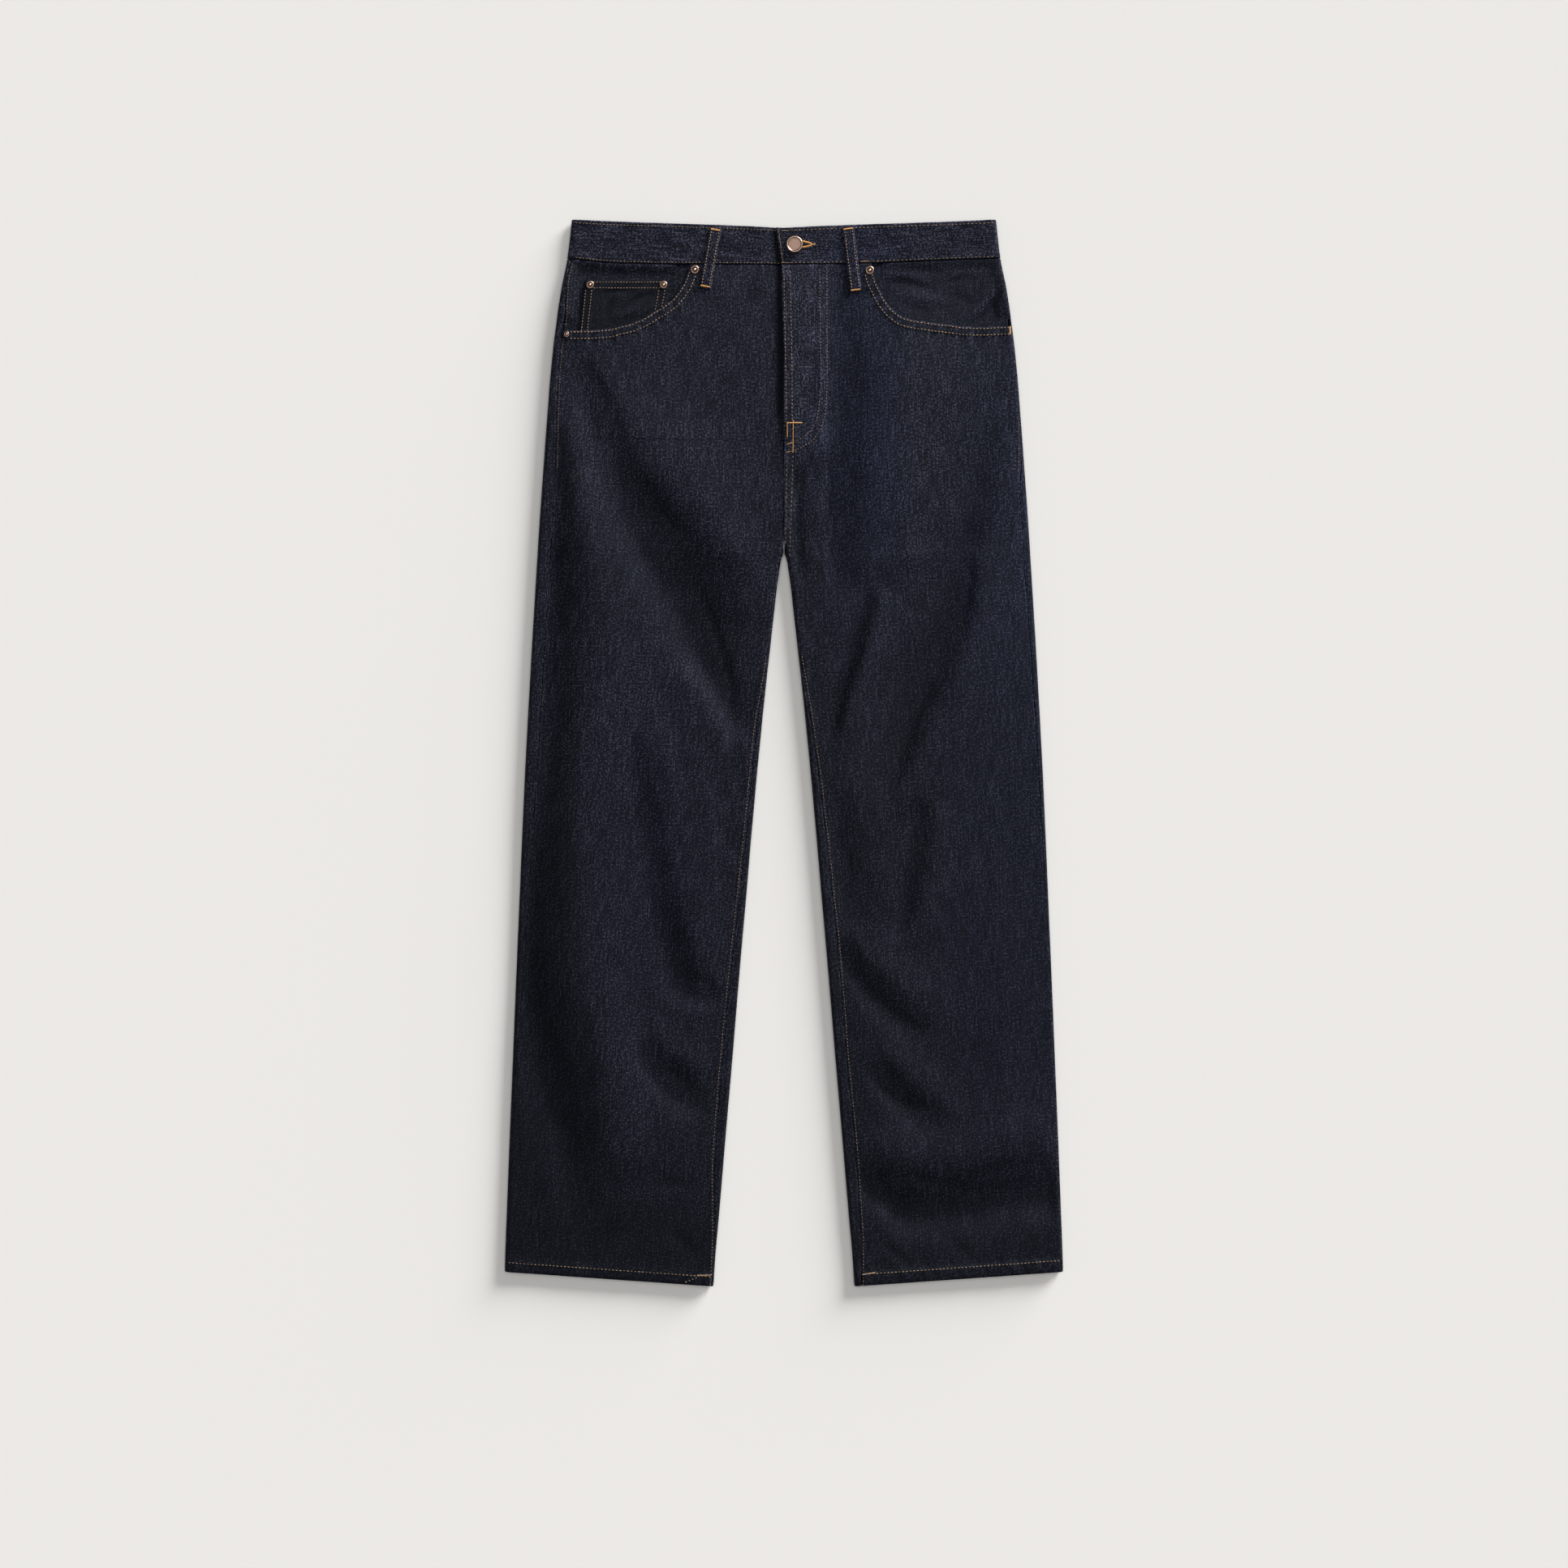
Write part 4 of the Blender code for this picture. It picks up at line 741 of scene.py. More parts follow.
class Leg:
    """One side of the jeans, worked out on +X and mirrored onto its own side."""

    def __init__(self, side):
        self.side = side
        self.name = "left" if side > 0 else "right"
        self.mouth = self.mouth_to(MOUTH[side][-1][0])

    def mouth_to(self, end):
        """The pocket's mouth from its inner end to this x."""
        xs = np.linspace(MOUTH[self.side][0][0], end, 160)
        return curve(xs, through(MOUTH[self.side], xs))

    def seam(self, kind, y):
        return at(f"{kind}_{self.name}", y)

    def outseam_x(self, y):
        return at("outer", y) - self.seam("outseam", y)

    def margin(self, x, y):
        """How freely the cloth folds: 1 in the open, 0 at the leg's edges."""
        at_inner = 1 - smooth((x - at("inner", y)) / FOLD_MARGIN)
        return smooth((at("outer", y) - x) / FOLD_MARGIN) * (1 - ramp(y, *INNER_MARGIN_Y) * at_inner)

    def roping(self, x, y, height, pitch, slant, seed):
        """Slanting folds along the hem."""
        above = y - hem(x)
        fade = np.exp(-((above - ROPING_MIDDLE) / ROPING_REACH) ** 2)
        return height * fade * ripple(x + slant * above, pitch, seed + self.side)

    def puckered(self, x, y):
        """The puckers under the pocket's mouth and the roping of the hem, which also show as painted light
        and shade in the tone.
        """
        return self.roping(x, y, *HEM_ROPES) + puckers(self.mouth, x, y, *MOUTH_PUCKERS, 21 + self.side)

    def detail(self, x, y):
        """Finer form of the front's cloth, over its solid."""
        real_x = self.side * x
        z = creases(CREASES, real_x, y)
        z = z + sum(height * uneven(real_x, y, *field) for height, *field in UNEVEN_CLOTH)
        z = self.margin(x, y) * z
        off, _ = self.mouth.measure(x, y, 40)
        z = z + DOUBLED_RAISE * (1 - ramp(-off, *DOUBLED_END)) * (off < 1.0)
        z = z + self.puckered(x, y) + puckers(self.mouth, x, y, *FINE_MOUTH_PUCKERS, 25 + self.side)
        z = z + self.roping(x, y, *FINE_HEM_ROPES)
        below = waist_seam(self.side, x) - y
        height, reach, pitch, slant = WAIST_PUCKERS
        z = z + height * np.exp(-(below / reach) ** 2) * ripple(x - slant * below, pitch, 35 + self.side)
        if self.side > 0:
            z = z + MOTTLE * ramp(x, *MOTTLED_X) * ramp(y, *MOTTLED_Y) * mottled(x, y)
            z = z + puckers(J_OUTER, x, y, *J_PUCKERS, 43) + puckers(FLY_EDGE, x, y, *FLY_EDGE_PUCKERS, 44)
        return z

    def height(self, x, y, detail=True):
        """Height of the front cloth's middle: its loft, its folds, the fly and the finer form."""
        crown = at("crown", y) * smooth((at("outer", y) - x) / CROWN_FALL)
        crown = crown * (1 - ramp(y, *LEG_BEGINS_Y) * (1 - smooth((x - at("inner", y)) / CROWN_FALL)))
        lowest = mix(*REST_HEIGHT, ramp(y, *SEAT_BEGINS_Y))
        over = at("height", y) + crown + self.margin(x, y) * folds(self.side * x, y) - lowest
        settled = lowest + (over + np.sqrt(over * over + 1)) / 2 + front_raise(self.side, x, y)
        return settled + (self.detail(x, y) if detail else 0.0)

    def tone(self, x, y):
        """Painted light on ridges and painted shade in troughs, creases and gaps, over a tone paler towards
        the waist and darker towards the hems.
        """
        real_x = self.side * x
        # paler towards the waist and darker towards the hems, then painted shade and light in patches
        painted_shade_and_tone = through(LEG_TONE[self.side], y) - HEM_TONE * ramp(y, *HEM_TONE_Y)
        # painted shade and painted light in patches
        for middle_x, middle_y, across, down, tone in PAINTED_SHADE_PATCHES:
            painted_shade_and_tone = painted_shade_and_tone + tone * np.exp(-((real_x - middle_x) / across) ** 2 - ((y - middle_y) / down) ** 2)
        if self.side > 0:
            placket = ramp(x, *PLACKET_SIDE_X) * ramp(y, *PLACKET_FOOT_Y)
            painted_shade_and_tone = painted_shade_and_tone + placket * (PLACKET_TONE + PLACKET_MOTTLE * mottled(x, y))
        else:
            # painted shade on the shin's side away from the light
            painted_shade_and_tone = painted_shade_and_tone - SHIN_EDGE_PAINTED_SHADE * ramp(x, *SHIN_EDGE_X) * ramp(y, *SHIN_EDGE_Y)
        # painted light on the folds' ridges and painted shade in their troughs
        folded = folds(real_x, y)
        folded = folded / np.where(folded > 0, RIDGE_PAINTED_LIGHT, TROUGH_PAINTED_SHADE)
        # painted light and shade on the creases and puckers
        small = creases(CREASES, real_x, y) / CREASE_PAINTED_SHADING + self.puckered(x, y) / PUCKER_PAINTED_SHADING
        off, _ = self.mouth.measure(x, y, 12)
        strip = ramp(-off, *MOUTH_STRIP_START) * (1 - ramp(-off, *MOUTH_STRIP_END)) * (off < 0)
        tone = np.clip(painted_shade_and_tone + folded + small - MOUTH_STRIP_TONE * strip, *TONE_LIMITS)
        if self.side < 0:
            # painted shadow beside the fly's lapping edge
            tone = tone + PAINTED_GAP_SHADOW * (1 - ramp(x, *FLY_GAP_X)) * ramp(y, *FLY_GAP_Y)
        return tone

    def front_edge(self, y):
        """x of the front's edge at the centre: the right front runs under the fly."""
        if self.side < 0:
            edge = np.full(np.shape(y), -FLY_UNDERLAP)
        else:
            edge = -FLY_LEAN * ramp(y, *FLY_LEAN_Y)
        return np.where(y < FLY_BOTTOM_Y + 1, GAP / 2, edge)

    def front_top(self, x):
        """The front's top edge: the waist seam, then the pocket's mouth."""
        mouth = MOUTH[self.side]
        return np.where(x <= mouth[0][0], waist_seam(self.side, x) - GAP, through(mouth, x))

    def edge_middle(self, row_y, outward, wall, rise=1.0):
        """x of a roll's middle on each row, and the roll's half width."""
        x = np.full_like(wall, LEG_SPAN[1] if outward else LEG_SPAN[0])
        for _ in range(SETTLING):
            y = row_y(x)
            if outward:
                x = at("outer", y)
            else:
                x = np.maximum(at("inner", y), GAP / 2 + CROTCH_GAP * near_crotch(y))
        reach = EDGE_REACH * rise
        sign = 1 if outward else -1
        return x - sign * (reach + np.minimum(1.0, 2 * rise) * wall / 2), reach

    def seam_gap(self, y, depth, inner=False):
        wider = HEM_GAP * (1 - past_hem(depth))
        if inner:
            wider = np.where(near_crotch(y), CROTCH_GAP, wider)
        return GAP / 2 + wider

    def leg_rows(self, top_length, cell, top):
        """Rows from a panel's top line down to the hem: y of each at the centre, its way into the top part
        from 0 to 1, and a function that reads its y at x."""
        highest = FIRST_LEG_ROW_Y + top_length
        length = highest - hem(0)
        centre_y = (highest - rimmed(length, cell, WALL / 2) * length)[:, None]
        in_top = np.clip((centre_y - FIRST_LEG_ROW_Y) / top_length, 0, 1)
        waist = waist_seam(self.side, 0.0)
        share = (waist - np.minimum(centre_y, FIRST_LEG_ROW_Y)) / (waist - hem(0))

        def row_y(x):
            return mix(mix(waist_seam(self.side, x), hem(x), share), top(x), in_top)

        return centre_y, in_top, row_y

    def grid(self, x, y, z, wall, cloth, tone):
        """A shell's middle points, wall, cloth coordinates and tone, on the leg's own side."""
        points = np.stack((self.side * x, y, z), -1)
        return points, np.broadcast_to(wall, x.shape), (self.side * np.broadcast_to(cloth, x.shape), y), tone

    def front(self):
        centre_y, in_top, row_y = self.leg_rows(FRONT_TOP_LENGTH, CELL, self.front_top)
        xs = np.linspace(self.front_edge(waist_seam(self.side, 0.0)), at("outer", SIDE_TOP_Y), 3000)
        reach = lengths(xs, self.front_top(xs))
        columns = rimmed(FRONT_WIDTH, CELL, WALL / 2)
        along_top = np.interp(columns, reach / reach[-1], (xs - xs[0]) / (xs[-1] - xs[0]))
        even = 0.5 * smooth(1 - in_top) + 0.5 * smooth((FIRST_LEG_ROW_Y - centre_y) / EVEN_FALL)
        shares = mix(along_top[None, :], columns[None, :], even)

        depth = height_above_hem(row_y, centre_y)
        wall = wall_at(depth)
        outer, _ = self.edge_middle(row_y, True, wall)
        inner, _ = self.edge_middle(row_y, False, wall)
        outseam_y, inseam_y = row_y(outer), row_y(inner)
        half = EDGE_ROLL / 2
        reach = half - self.seam("outseam", outseam_y) - self.seam_gap(outseam_y, depth)
        # above the crotch the row starts at the centre
        start = self.front_edge(row_y(np.zeros_like(centre_y)))
        x_over = start + shares * (outer + reach - start)
        # below it the row starts at the inseam, on the inner roll
        begin = self.seam("inseam", inseam_y) + self.seam_gap(inseam_y, depth, True)
        cloth = begin + shares * (half + outer - inner + reach - begin)
        x_under = inner + cloth - half
        below = smooth((CROTCH_Y + CROTCH_BLEND - centre_y) / CROTCH_BLEND)
        turn_in = roll_angle(inner - x_under)
        x_rolled = np.where(turn_in > 0, inner - EDGE_REACH * np.sin(turn_in), x_under)
        turn_out = roll_angle(mix(x_over, x_under, below) - outer)
        x = np.where(turn_out > 0, outer + EDGE_REACH * np.sin(turn_out), mix(x_over, x_rolled, below))
        y = row_y(x)
        high_x = np.where(turn_out > 0, outer, mix(x_over, np.maximum(x_under, inner), below))
        high = self.height(high_x, row_y(high_x))
        z = rolled(high, wall / 2 + back_lift(x, y), np.maximum(turn_out, turn_in * below))
        return self.grid(x, y, z, wall, cloth, self.tone(high_x, y))

    def back_like(self, row_y, centre_y):
        """Grid of back cloth: outseam, under the outer edge, over the floor, inseam."""
        depth = height_above_hem(row_y, centre_y)
        wall = wall_at(depth)
        rise = np.where(centre_y > CROTCH_Y, smooth((CROTCH_Y + CROTCH_RISE - centre_y) / CROTCH_RISE), 1.0)
        outer, _ = self.edge_middle(row_y, True, wall)
        inner, reach_in = self.edge_middle(row_y, False, wall, rise)
        half = EDGE_ROLL / 2
        outseam_y, inseam_y = row_y(outer), row_y(inner)
        start = self.seam("outseam", outseam_y) - self.seam_gap(outseam_y, depth)
        climb = rise * (half + self.seam("inseam", inseam_y) - self.seam_gap(inseam_y, depth, True))
        floor = outer - inner
        total = start + half + floor + climb
        # columns are close in the strips along both seams, and wider apart between them
        strip = rimmed(SEAM_STRIP, SEAM_CELL, WALL / 2) * SEAM_STRIP
        middle = np.linspace(0, BACK_MIDDLE, int(BACK_MIDDLE / BACK_COLUMN))[1:-1]
        columns = np.concatenate((
            strip[:-len(RIM)], SEAM_STRIP + middle, SEAM_STRIP + BACK_MIDDLE + strip[len(RIM):]))[None, :]
        spare = total - 2 * SEAM_STRIP - BACK_MIDDLE
        # cloth, counted from the outseam
        cloth = columns + spare * np.clip((columns - SEAM_STRIP) / BACK_MIDDLE, 0, 1)
        from_edge = start - cloth
        turn_out = roll_angle(half - from_edge)
        x = outer + np.where(from_edge > half, half - from_edge, EDGE_REACH * np.sin(turn_out))
        flat = cloth - start - half
        x = np.where(flat > 0, outer - flat, x)
        past = flat - floor
        turn_in = roll_angle(past)
        x_in = inner - reach_in * np.sin(turn_in) + np.maximum(past - EDGE_ROLL, 0)
        x = np.where(past > 0, x_in, x)
        y = row_y(x)
        high_x = np.where(past > 0, np.maximum(x, inner), np.minimum(x, outer))
        high = self.height(high_x, row_y(high_x))
        turn = np.where(past > 0, math.pi - turn_in, np.where(flat > 0, math.pi, turn_out))
        z = rolled(high, wall / 2 + back_lift(x, y), turn)
        return self.grid(x, y, z, wall, cloth, self.tone(high_x, y))

    def back(self):
        centre_y, _, row_y = self.leg_rows(BACK_TOP_LENGTH, BACK_CELL, lambda x: through(YOKE_SEAM, x) - GAP)
        return self.back_like(row_y, np.minimum(centre_y, FIRST_LEG_ROW_Y))

    def yoke(self):
        shares = rimmed(YOKE_LENGTH, BACK_CELL, WALL / 2)[:, None]
        return self.back_like(lambda x: mix(waist_seam(self.side, x) - GAP, through(YOKE_SEAM, x), shares),
                              np.full_like(shares, YOKE_MIDDLE_Y))

    def facing_depth(self, x, y):
        """How far the facing lies below the front: level with it only at the side and waist seams."""
        full = LAYER + (LAYER * ramp(x, *COIN_ROOM_X) if self.side < 0 else 0.0)
        near = np.minimum(self.outseam_x(y) - x, waist_seam(self.side, x) - y)
        shelf = 1 - smooth((off_line(MOUTH[self.side], x, y) - FACING_SHELF) / FACING_RAMP)
        depth = full * np.maximum(shelf, smooth(near / FACING_RAMP))
        hidden = (y < through(MOUTH[self.side], x)) | (x < MOUTH[self.side][0][0])
        return np.where(hidden, full, depth)

    def facing(self):
        """Grid of the facing, from the waist seam down to its foot under the front."""
        left, down = FACING_UNDER
        mouth = MOUTH[self.side]
        width, length = FACING_SIZE
        rows = rimmed(length, FACING_CELL, WALL / 2)[:, None]

        def row_y(x):
            return mix(waist_seam(self.side, x) - GAP, through(mouth, x + left) - down, rows)

        outer, _ = self.edge_middle(row_y, True, np.full_like(rows, WALL))
        end = outer + EDGE_ROLL / 2 - self.seam("outseam", row_y(outer)) - FACING_GAP
        under = row_y(end) < through(mouth, end) + FACING_SHELF
        end = np.where(under, np.minimum(end, outer) - GAP, end)
        start = mouth[0][0] - left
        flat_x = start + (end - start) * rimmed(width, FACING_CELL, WALL / 2)[None, :]
        turn = roll_angle(flat_x - outer)
        x = np.where(turn > 0, outer + EDGE_REACH * np.sin(turn), flat_x)
        y = row_y(x)
        high = self.height(np.minimum(x, outer), y, detail=False)
        wrinkles = creases(FACING_FOLDS[self.side], x, y)
        z = rolled(high, WALL / 2 + back_lift(x, y), turn) - self.facing_depth(x, y) + wrinkles
        # painted shade over the recessed facing, painted light and shade along its wrinkles
        return self.grid(x, y, z, WALL, x, FACING_PAINTED_SHADE[self.side] + limited(wrinkles, *FACING_WRINKLE_PAINTED_SHADING))

    def coin_pocket(self):
        """Grid of the small patch pocket on the facing."""
        width, length = COIN_SIZE
        rows = rimmed(length, COIN_CELL, WALL / 2)[:, None]
        columns = rimmed(width, COIN_CELL, WALL / 2)[None, :]
        x = COIN_INNER[0] + (COIN_OUTER[0] - COIN_INNER[0]) * columns + 0 * rows
        for _ in range(SETTLING):
            y = COIN_TOP_Y + (through(MOUTH[-1], x) - COIN_UNDER - COIN_TOP_Y) * rows
            inner, outer = (edge + (COIN_TOP_Y - y) * lean for edge, lean in (COIN_INNER, COIN_OUTER))
            x = inner + (outer - inner) * columns
        wrinkles = creases(COIN_FOLDS, x, y)
        z = self.height(x, y, detail=False) - self.facing_depth(x, y) + LAYER + wrinkles
        edge = np.minimum(COIN_TOP_Y - y, np.minimum(x - inner, outer - x))
        # painted shade over the recessed coin pocket, painted light and shade along its wrinkles
        tone = COIN_PAINTED_SHADE - COIN_STRIP_TONE * (1 - ramp(edge, *COIN_STRIP))
        tone = tone + limited(wrinkles, *COIN_WRINKLE_PAINTED_SHADING) + COIN_UNEVEN_TONE * uneven(x, y, 9, 42)
        return self.grid(x, y, z, WALL, x, tone)


# fly: x, y down each row of stitches
J_OUTER = track(((43.3, 489.0), (43.4, 366.5), (41.9, 341.0), (37.3, 326.4), (29.1, 314.2), (17.6, 307.3),
                 (9.4, 303.8), (2.2, 302.6)))
J_INNER = track(((35.8, 489.0), (37.3, 366.5), (33.2, 333.2), (28.0, 324.7), (17.6, 316.0), (2.2, 310.5)))
FLY_EDGE = track(((-2.0, 489.0), (-1.0, 440.0), (0.2, 384.0), (0.3, 312.0)))


# ---- meshes ----
def normals_of(points, up):
    """Unit normals of a grid; up is the sign of z that the grid's middle faces."""
    across, down = np.gradient(points, axis=1), np.gradient(points, axis=0)
    normal = np.cross(across, down)
    normal /= np.linalg.norm(normal, axis=-1, keepdims=True) + 1e-12
    middle = normal[points.shape[0] // 2, points.shape[1] // 2, 2]
    return normal * (1 if middle * up > 0 else -1)


def rim_distance(points):
    """Distance of each grid point from the grid's nearest rim."""
    distance = np.full(points.shape[:2], FAR)
    for axis in (0, 1):
        steps = np.linalg.norm(np.diff(points, axis=axis), axis=-1)
        zero = np.zeros_like(np.take(steps, [0], axis=axis))
        ahead = np.concatenate((zero, np.cumsum(steps, axis=axis)), axis=axis)
        behind = np.take(ahead, [-1], axis=axis) - ahead
        distance = np.minimum(distance, np.minimum(ahead, behind))
    return distance


def mesh_object(name, points, faces, uvs, values):
    """An object with smooth faces, its cloth coordinates in metres and its named values."""
    mesh = bpy.data.meshes.new(name)
    mesh.from_pydata((np.asarray(points) * MM).tolist(), [], np.asarray(faces).tolist())
    mesh.shade_smooth()
    corners = np.empty(len(mesh.loops), np.int32)
    mesh.loops.foreach_get("vertex_index", corners)
    if uvs is not None:
        layer = mesh.uv_layers.new(name="cloth")
        layer.data.foreach_set("uv", (np.asarray(uvs) * MM)[corners].astype(np.float32).ravel())
    for key, value in values.items():
        attribute = mesh.attributes.new(key, "FLOAT", "POINT")
        attribute.data.foreach_set("value", np.asarray(value, np.float32).ravel())
    piece = bpy.data.objects.new(name, mesh)
    bpy.context.scene.collection.objects.link(piece)
    return piece


def on_both_faces(values, rim):
    """A grid's values at every outer point, then at the inner points, which share the rim's."""
    values = np.broadcast_to(values, rim.shape)
    return np.concatenate((values.ravel(), values[~rim]))


def shell(name, grid, up=1):
    """A closed sheet of cloth through a grid of middle points, with round rims."""
    points, wall, cloth, tone = grid
    rows, columns = points.shape[:2]
    half = wall / 2
    from_rim = rim_distance(points)
    thickness = half * np.sqrt(np.clip(1 - (1 - np.clip(from_rim / half, 0, 1)) ** 2, 0, 1))
    rim = np.zeros((rows, columns), bool)
    rim[[0, -1], :] = rim[:, [0, -1]] = True
    thickness[rim] = 0
    normal = normals_of(points, up)
    outside = points + normal * thickness[..., None]
    inside = points - normal * thickness[..., None]
    top = np.arange(rows * columns).reshape(rows, columns)
    under = top.copy()
    under[~rim] = rows * columns + np.arange(np.count_nonzero(~rim))
    faces = []
    for ids in (top, under):
        quad = (ids[:-1, :-1], ids[:-1, 1:], ids[1:, 1:], ids[1:, :-1])
        faces.append(np.stack([q.ravel() for q in quad], 1))
    faces[1] = faces[1][:, ::-1]
    a, b, d = (outside[rows // 2 + i, columns // 2 + j] for i, j in ((0, 0), (0, 1), (1, 0)))
    if np.dot(np.cross(b - a, d - a), normal[rows // 2, columns // 2]) < 0:
        faces = [f[:, ::-1] for f in faces]
    every = np.concatenate((outside.reshape(-1, 3), inside[~rim]))
    uvs = np.stack([on_both_faces(values, rim) for values in cloth], -1)
    return mesh_object(name, every, np.concatenate(faces), uvs, {
        "tone": on_both_faces(tone, rim),
        "rim": on_both_faces(1 - np.clip(from_rim / RIM_WEAR_AND_HIGHLIGHT, 0, 1), rim),
        "bluer": bluer(every[:, 0], every[:, 1])})


# ---- waistband ----
def band_height(x, lapping):
    level = at("height", BAND_LEVEL_Y)
    height, slope_x = (FLAP_HEIGHT, FLAP_RISE_X) if lapping else (UNDERLAP_HEIGHT, UNDERLAP_FALL_X)
    return level + (height - level) * ramp(x, *slope_x)


def band_line(side, x, share):
    return mix(waist_seam(side, x), waist_top(x), share)


def band_detail(x, share):
    """Slight diagonal wrinkles and the puckers between the two rows."""
    y = share * BAND_WIDTH
    z = 0.26 * uneven(x + 0.7 * y, y, 15, 51) + 0.15 * ripple(x - 0.5 * y, 11, 52)
    z = z + 0.16 * np.exp(-((y - 4) / 5) ** 2) * ripple(x, 7, 53)
    return z + 0.16 * np.exp(-((y - 34) / 5) ** 2) * ripple(x, 6.5, 54)


def waistband():
    """Grid round the waistband: right end, side, back, side, left end."""
    shares = rimmed(BAND_WIDTH, BAND_CELL[1], BAND_WALL / 2)[:, None]
    level = at("height", BAND_LEVEL_Y)
    ends = {}
    for side in (-1, 1):
        x = np.full_like(shares, WAIST_TOP[-1][0])
        for _ in range(SETTLING):
            x = at("outer", band_line(side, x, shares))
        ends[side] = x - EDGE_REACH - BAND_WALL / 2
    flap = FLAP_END[0] + (FLAP_END[1] - FLAP_END[0]) * shares
    sections = []

    def front_part(side, start, stop, places):
        x = mix(start, stop, places[None, :])
        z = band_height(x, side > 0) + band_detail(x, shares)
        sections.append(np.stack((x, band_line(side, x, shares), z), -1))

    def turn_part(side, angles):
        x = side * (ends[side] + EDGE_REACH * np.sin(angles)[None, :])
        y = band_line(side, x, shares)
        z = rolled(level, BAND_WALL / 2 + back_lift(ends[side], y), angles[None, :])
        sections.append(np.stack((x, y, z), -1))

    # one end has a rim, the other joins the turn
    places = rimmed(FRONT_WIDTH, BAND_CELL[0], BAND_WALL / 2)
    places = places[:-len(RIM) + 1] / places[-len(RIM)]
    angles = np.linspace(0, math.pi, 12)[1:-1]
    front_part(-1, UNDERLAP_END, -ends[-1], places)
    turn_part(-1, angles)
    across = np.linspace(0, 1, 80)[None, :]
    x = mix(-ends[-1], ends[1], across)
    drop = BACK_TOP_DROP * shares * (1 - (x / WAIST_TOP[-1][0]) ** 2)
    y = np.where(x < 0, band_line(-1, x, shares), band_line(1, x, shares)) - drop
    sections.append(np.stack((x, y, BAND_WALL / 2 + back_lift(x, y)), -1))
    turn_part(1, angles[::-1])
    front_part(1, ends[1], flap, 1 - places[::-1])
    points = np.concatenate(sections, axis=1)
    steps = np.linalg.norm(np.diff(points, axis=1), axis=-1).mean(0)
    u = np.concatenate(([0.0], np.cumsum(steps)))[None, :]
    v = shares * BAND_WIDTH
    # the warp runs along the band, so its cloth is turned a quarter
    x = points[..., 0]
    tone = BAND_TONE + BAND_UNEVEN_TONE * uneven(x + 1.2 * v, 3 * v, 26, 51)
    # painted light and shade along the diagonal wrinkles
    tone = tone + BAND_WRINKLE_PAINTED_SHADING * ripple(x - 0.5 * v, 11, 52)
    # painted shadow along the band's foot, where it meets the fronts
    tone = tone + PAINTED_GAP_SHADOW * (1 - ramp(v, *BAND_FOOT))
    under = sections[0].shape[1]
    # painted shadow on the underlap beside the flap's end
    tone[:, :under] += PAINTED_GAP_SHADOW * (1 - ramp(flap - x[:, :under], *BAND_GAP))
    return points, np.full(points.shape[:2], BAND_WALL), (v + 0 * u, u + 0 * v), tone


# ---- belt loops and back pockets ----
def surface(pieces):
    """Looks up the highest point of some pieces at x, y, seen from above or, with up=-1, from below."""
    trees = []
    for piece in pieces:
        mesh = piece.data
        points = [v.co for v in mesh.vertices]
        trees.append(BVHTree.FromPolygons(points, [p.vertices[:] for p in mesh.polygons]))

    def height(x, y, up=1):
        best = None
        for tree in trees:
            hit, _, _, _ = tree.ray_cast(Vector((x * MM, y * MM, up * 0.1)), Vector((0, 0, -up)))
            if hit is not None and (best is None or up * hit.z > up * best):
                best = hit.z
        return None if best is None else best / MM

    return height


def loop_strip(name, ends, wall, base, arch, up=1):
    """A belt loop: a folded strip that stands off the cloth between its two tacked ends."""
    (x0, y0), (x1, y1) = ends
    length = math.hypot(x1 - x0, y1 - y0)
    rows = rimmed(length, LOOP_CELL[0], wall / 2)[:, None]
    columns = rimmed(LOOP_WIDTH, LOOP_CELL[1], wall / 2)[None, :] - 0.5
    nx, ny = (y0 - y1) / length, (x1 - x0) / length
    x = x0 + (x1 - x0) * rows + nx * LOOP_WIDTH * columns
    y = y0 + (y1 - y0) * rows + ny * LOOP_WIDTH * columns
    heights = []
    for row in rows[:, 0]:
        centre = (x0 + (x1 - x0) * row, y0 + (y1 - y0) * row)
        found = [base(centre[0] + nx * k, centre[1] + ny * k) for k in (-LOOP_WIDTH / 2, 0, LOOP_WIDTH / 2)]
        heights.append(max([h for h in found if h is not None], default=0.0))
    kernel = np.ones(5) / 5
    heights = np.maximum(np.convolve(np.pad(heights, 2, "edge"), kernel, "valid"), heights)
    z = heights[:, None] + up * (wall / 2 + LOOP_CLEAR)
    free = np.sin(math.pi * rows) ** 0.6
    curved = 0.18 * np.cos(math.pi * columns * 2) * free + 0.06 * uneven(x, y, 8, 61)
    z = z + arch * (free + curved)
    points = np.stack((x, y, z), -1)
    u, v = LOOP_WIDTH * columns + 0 * rows, length * rows + 0 * columns
    return shell(name, (points, np.full(x.shape, wall), (u, v), np.full(x.shape, BAND_TONE)), up)


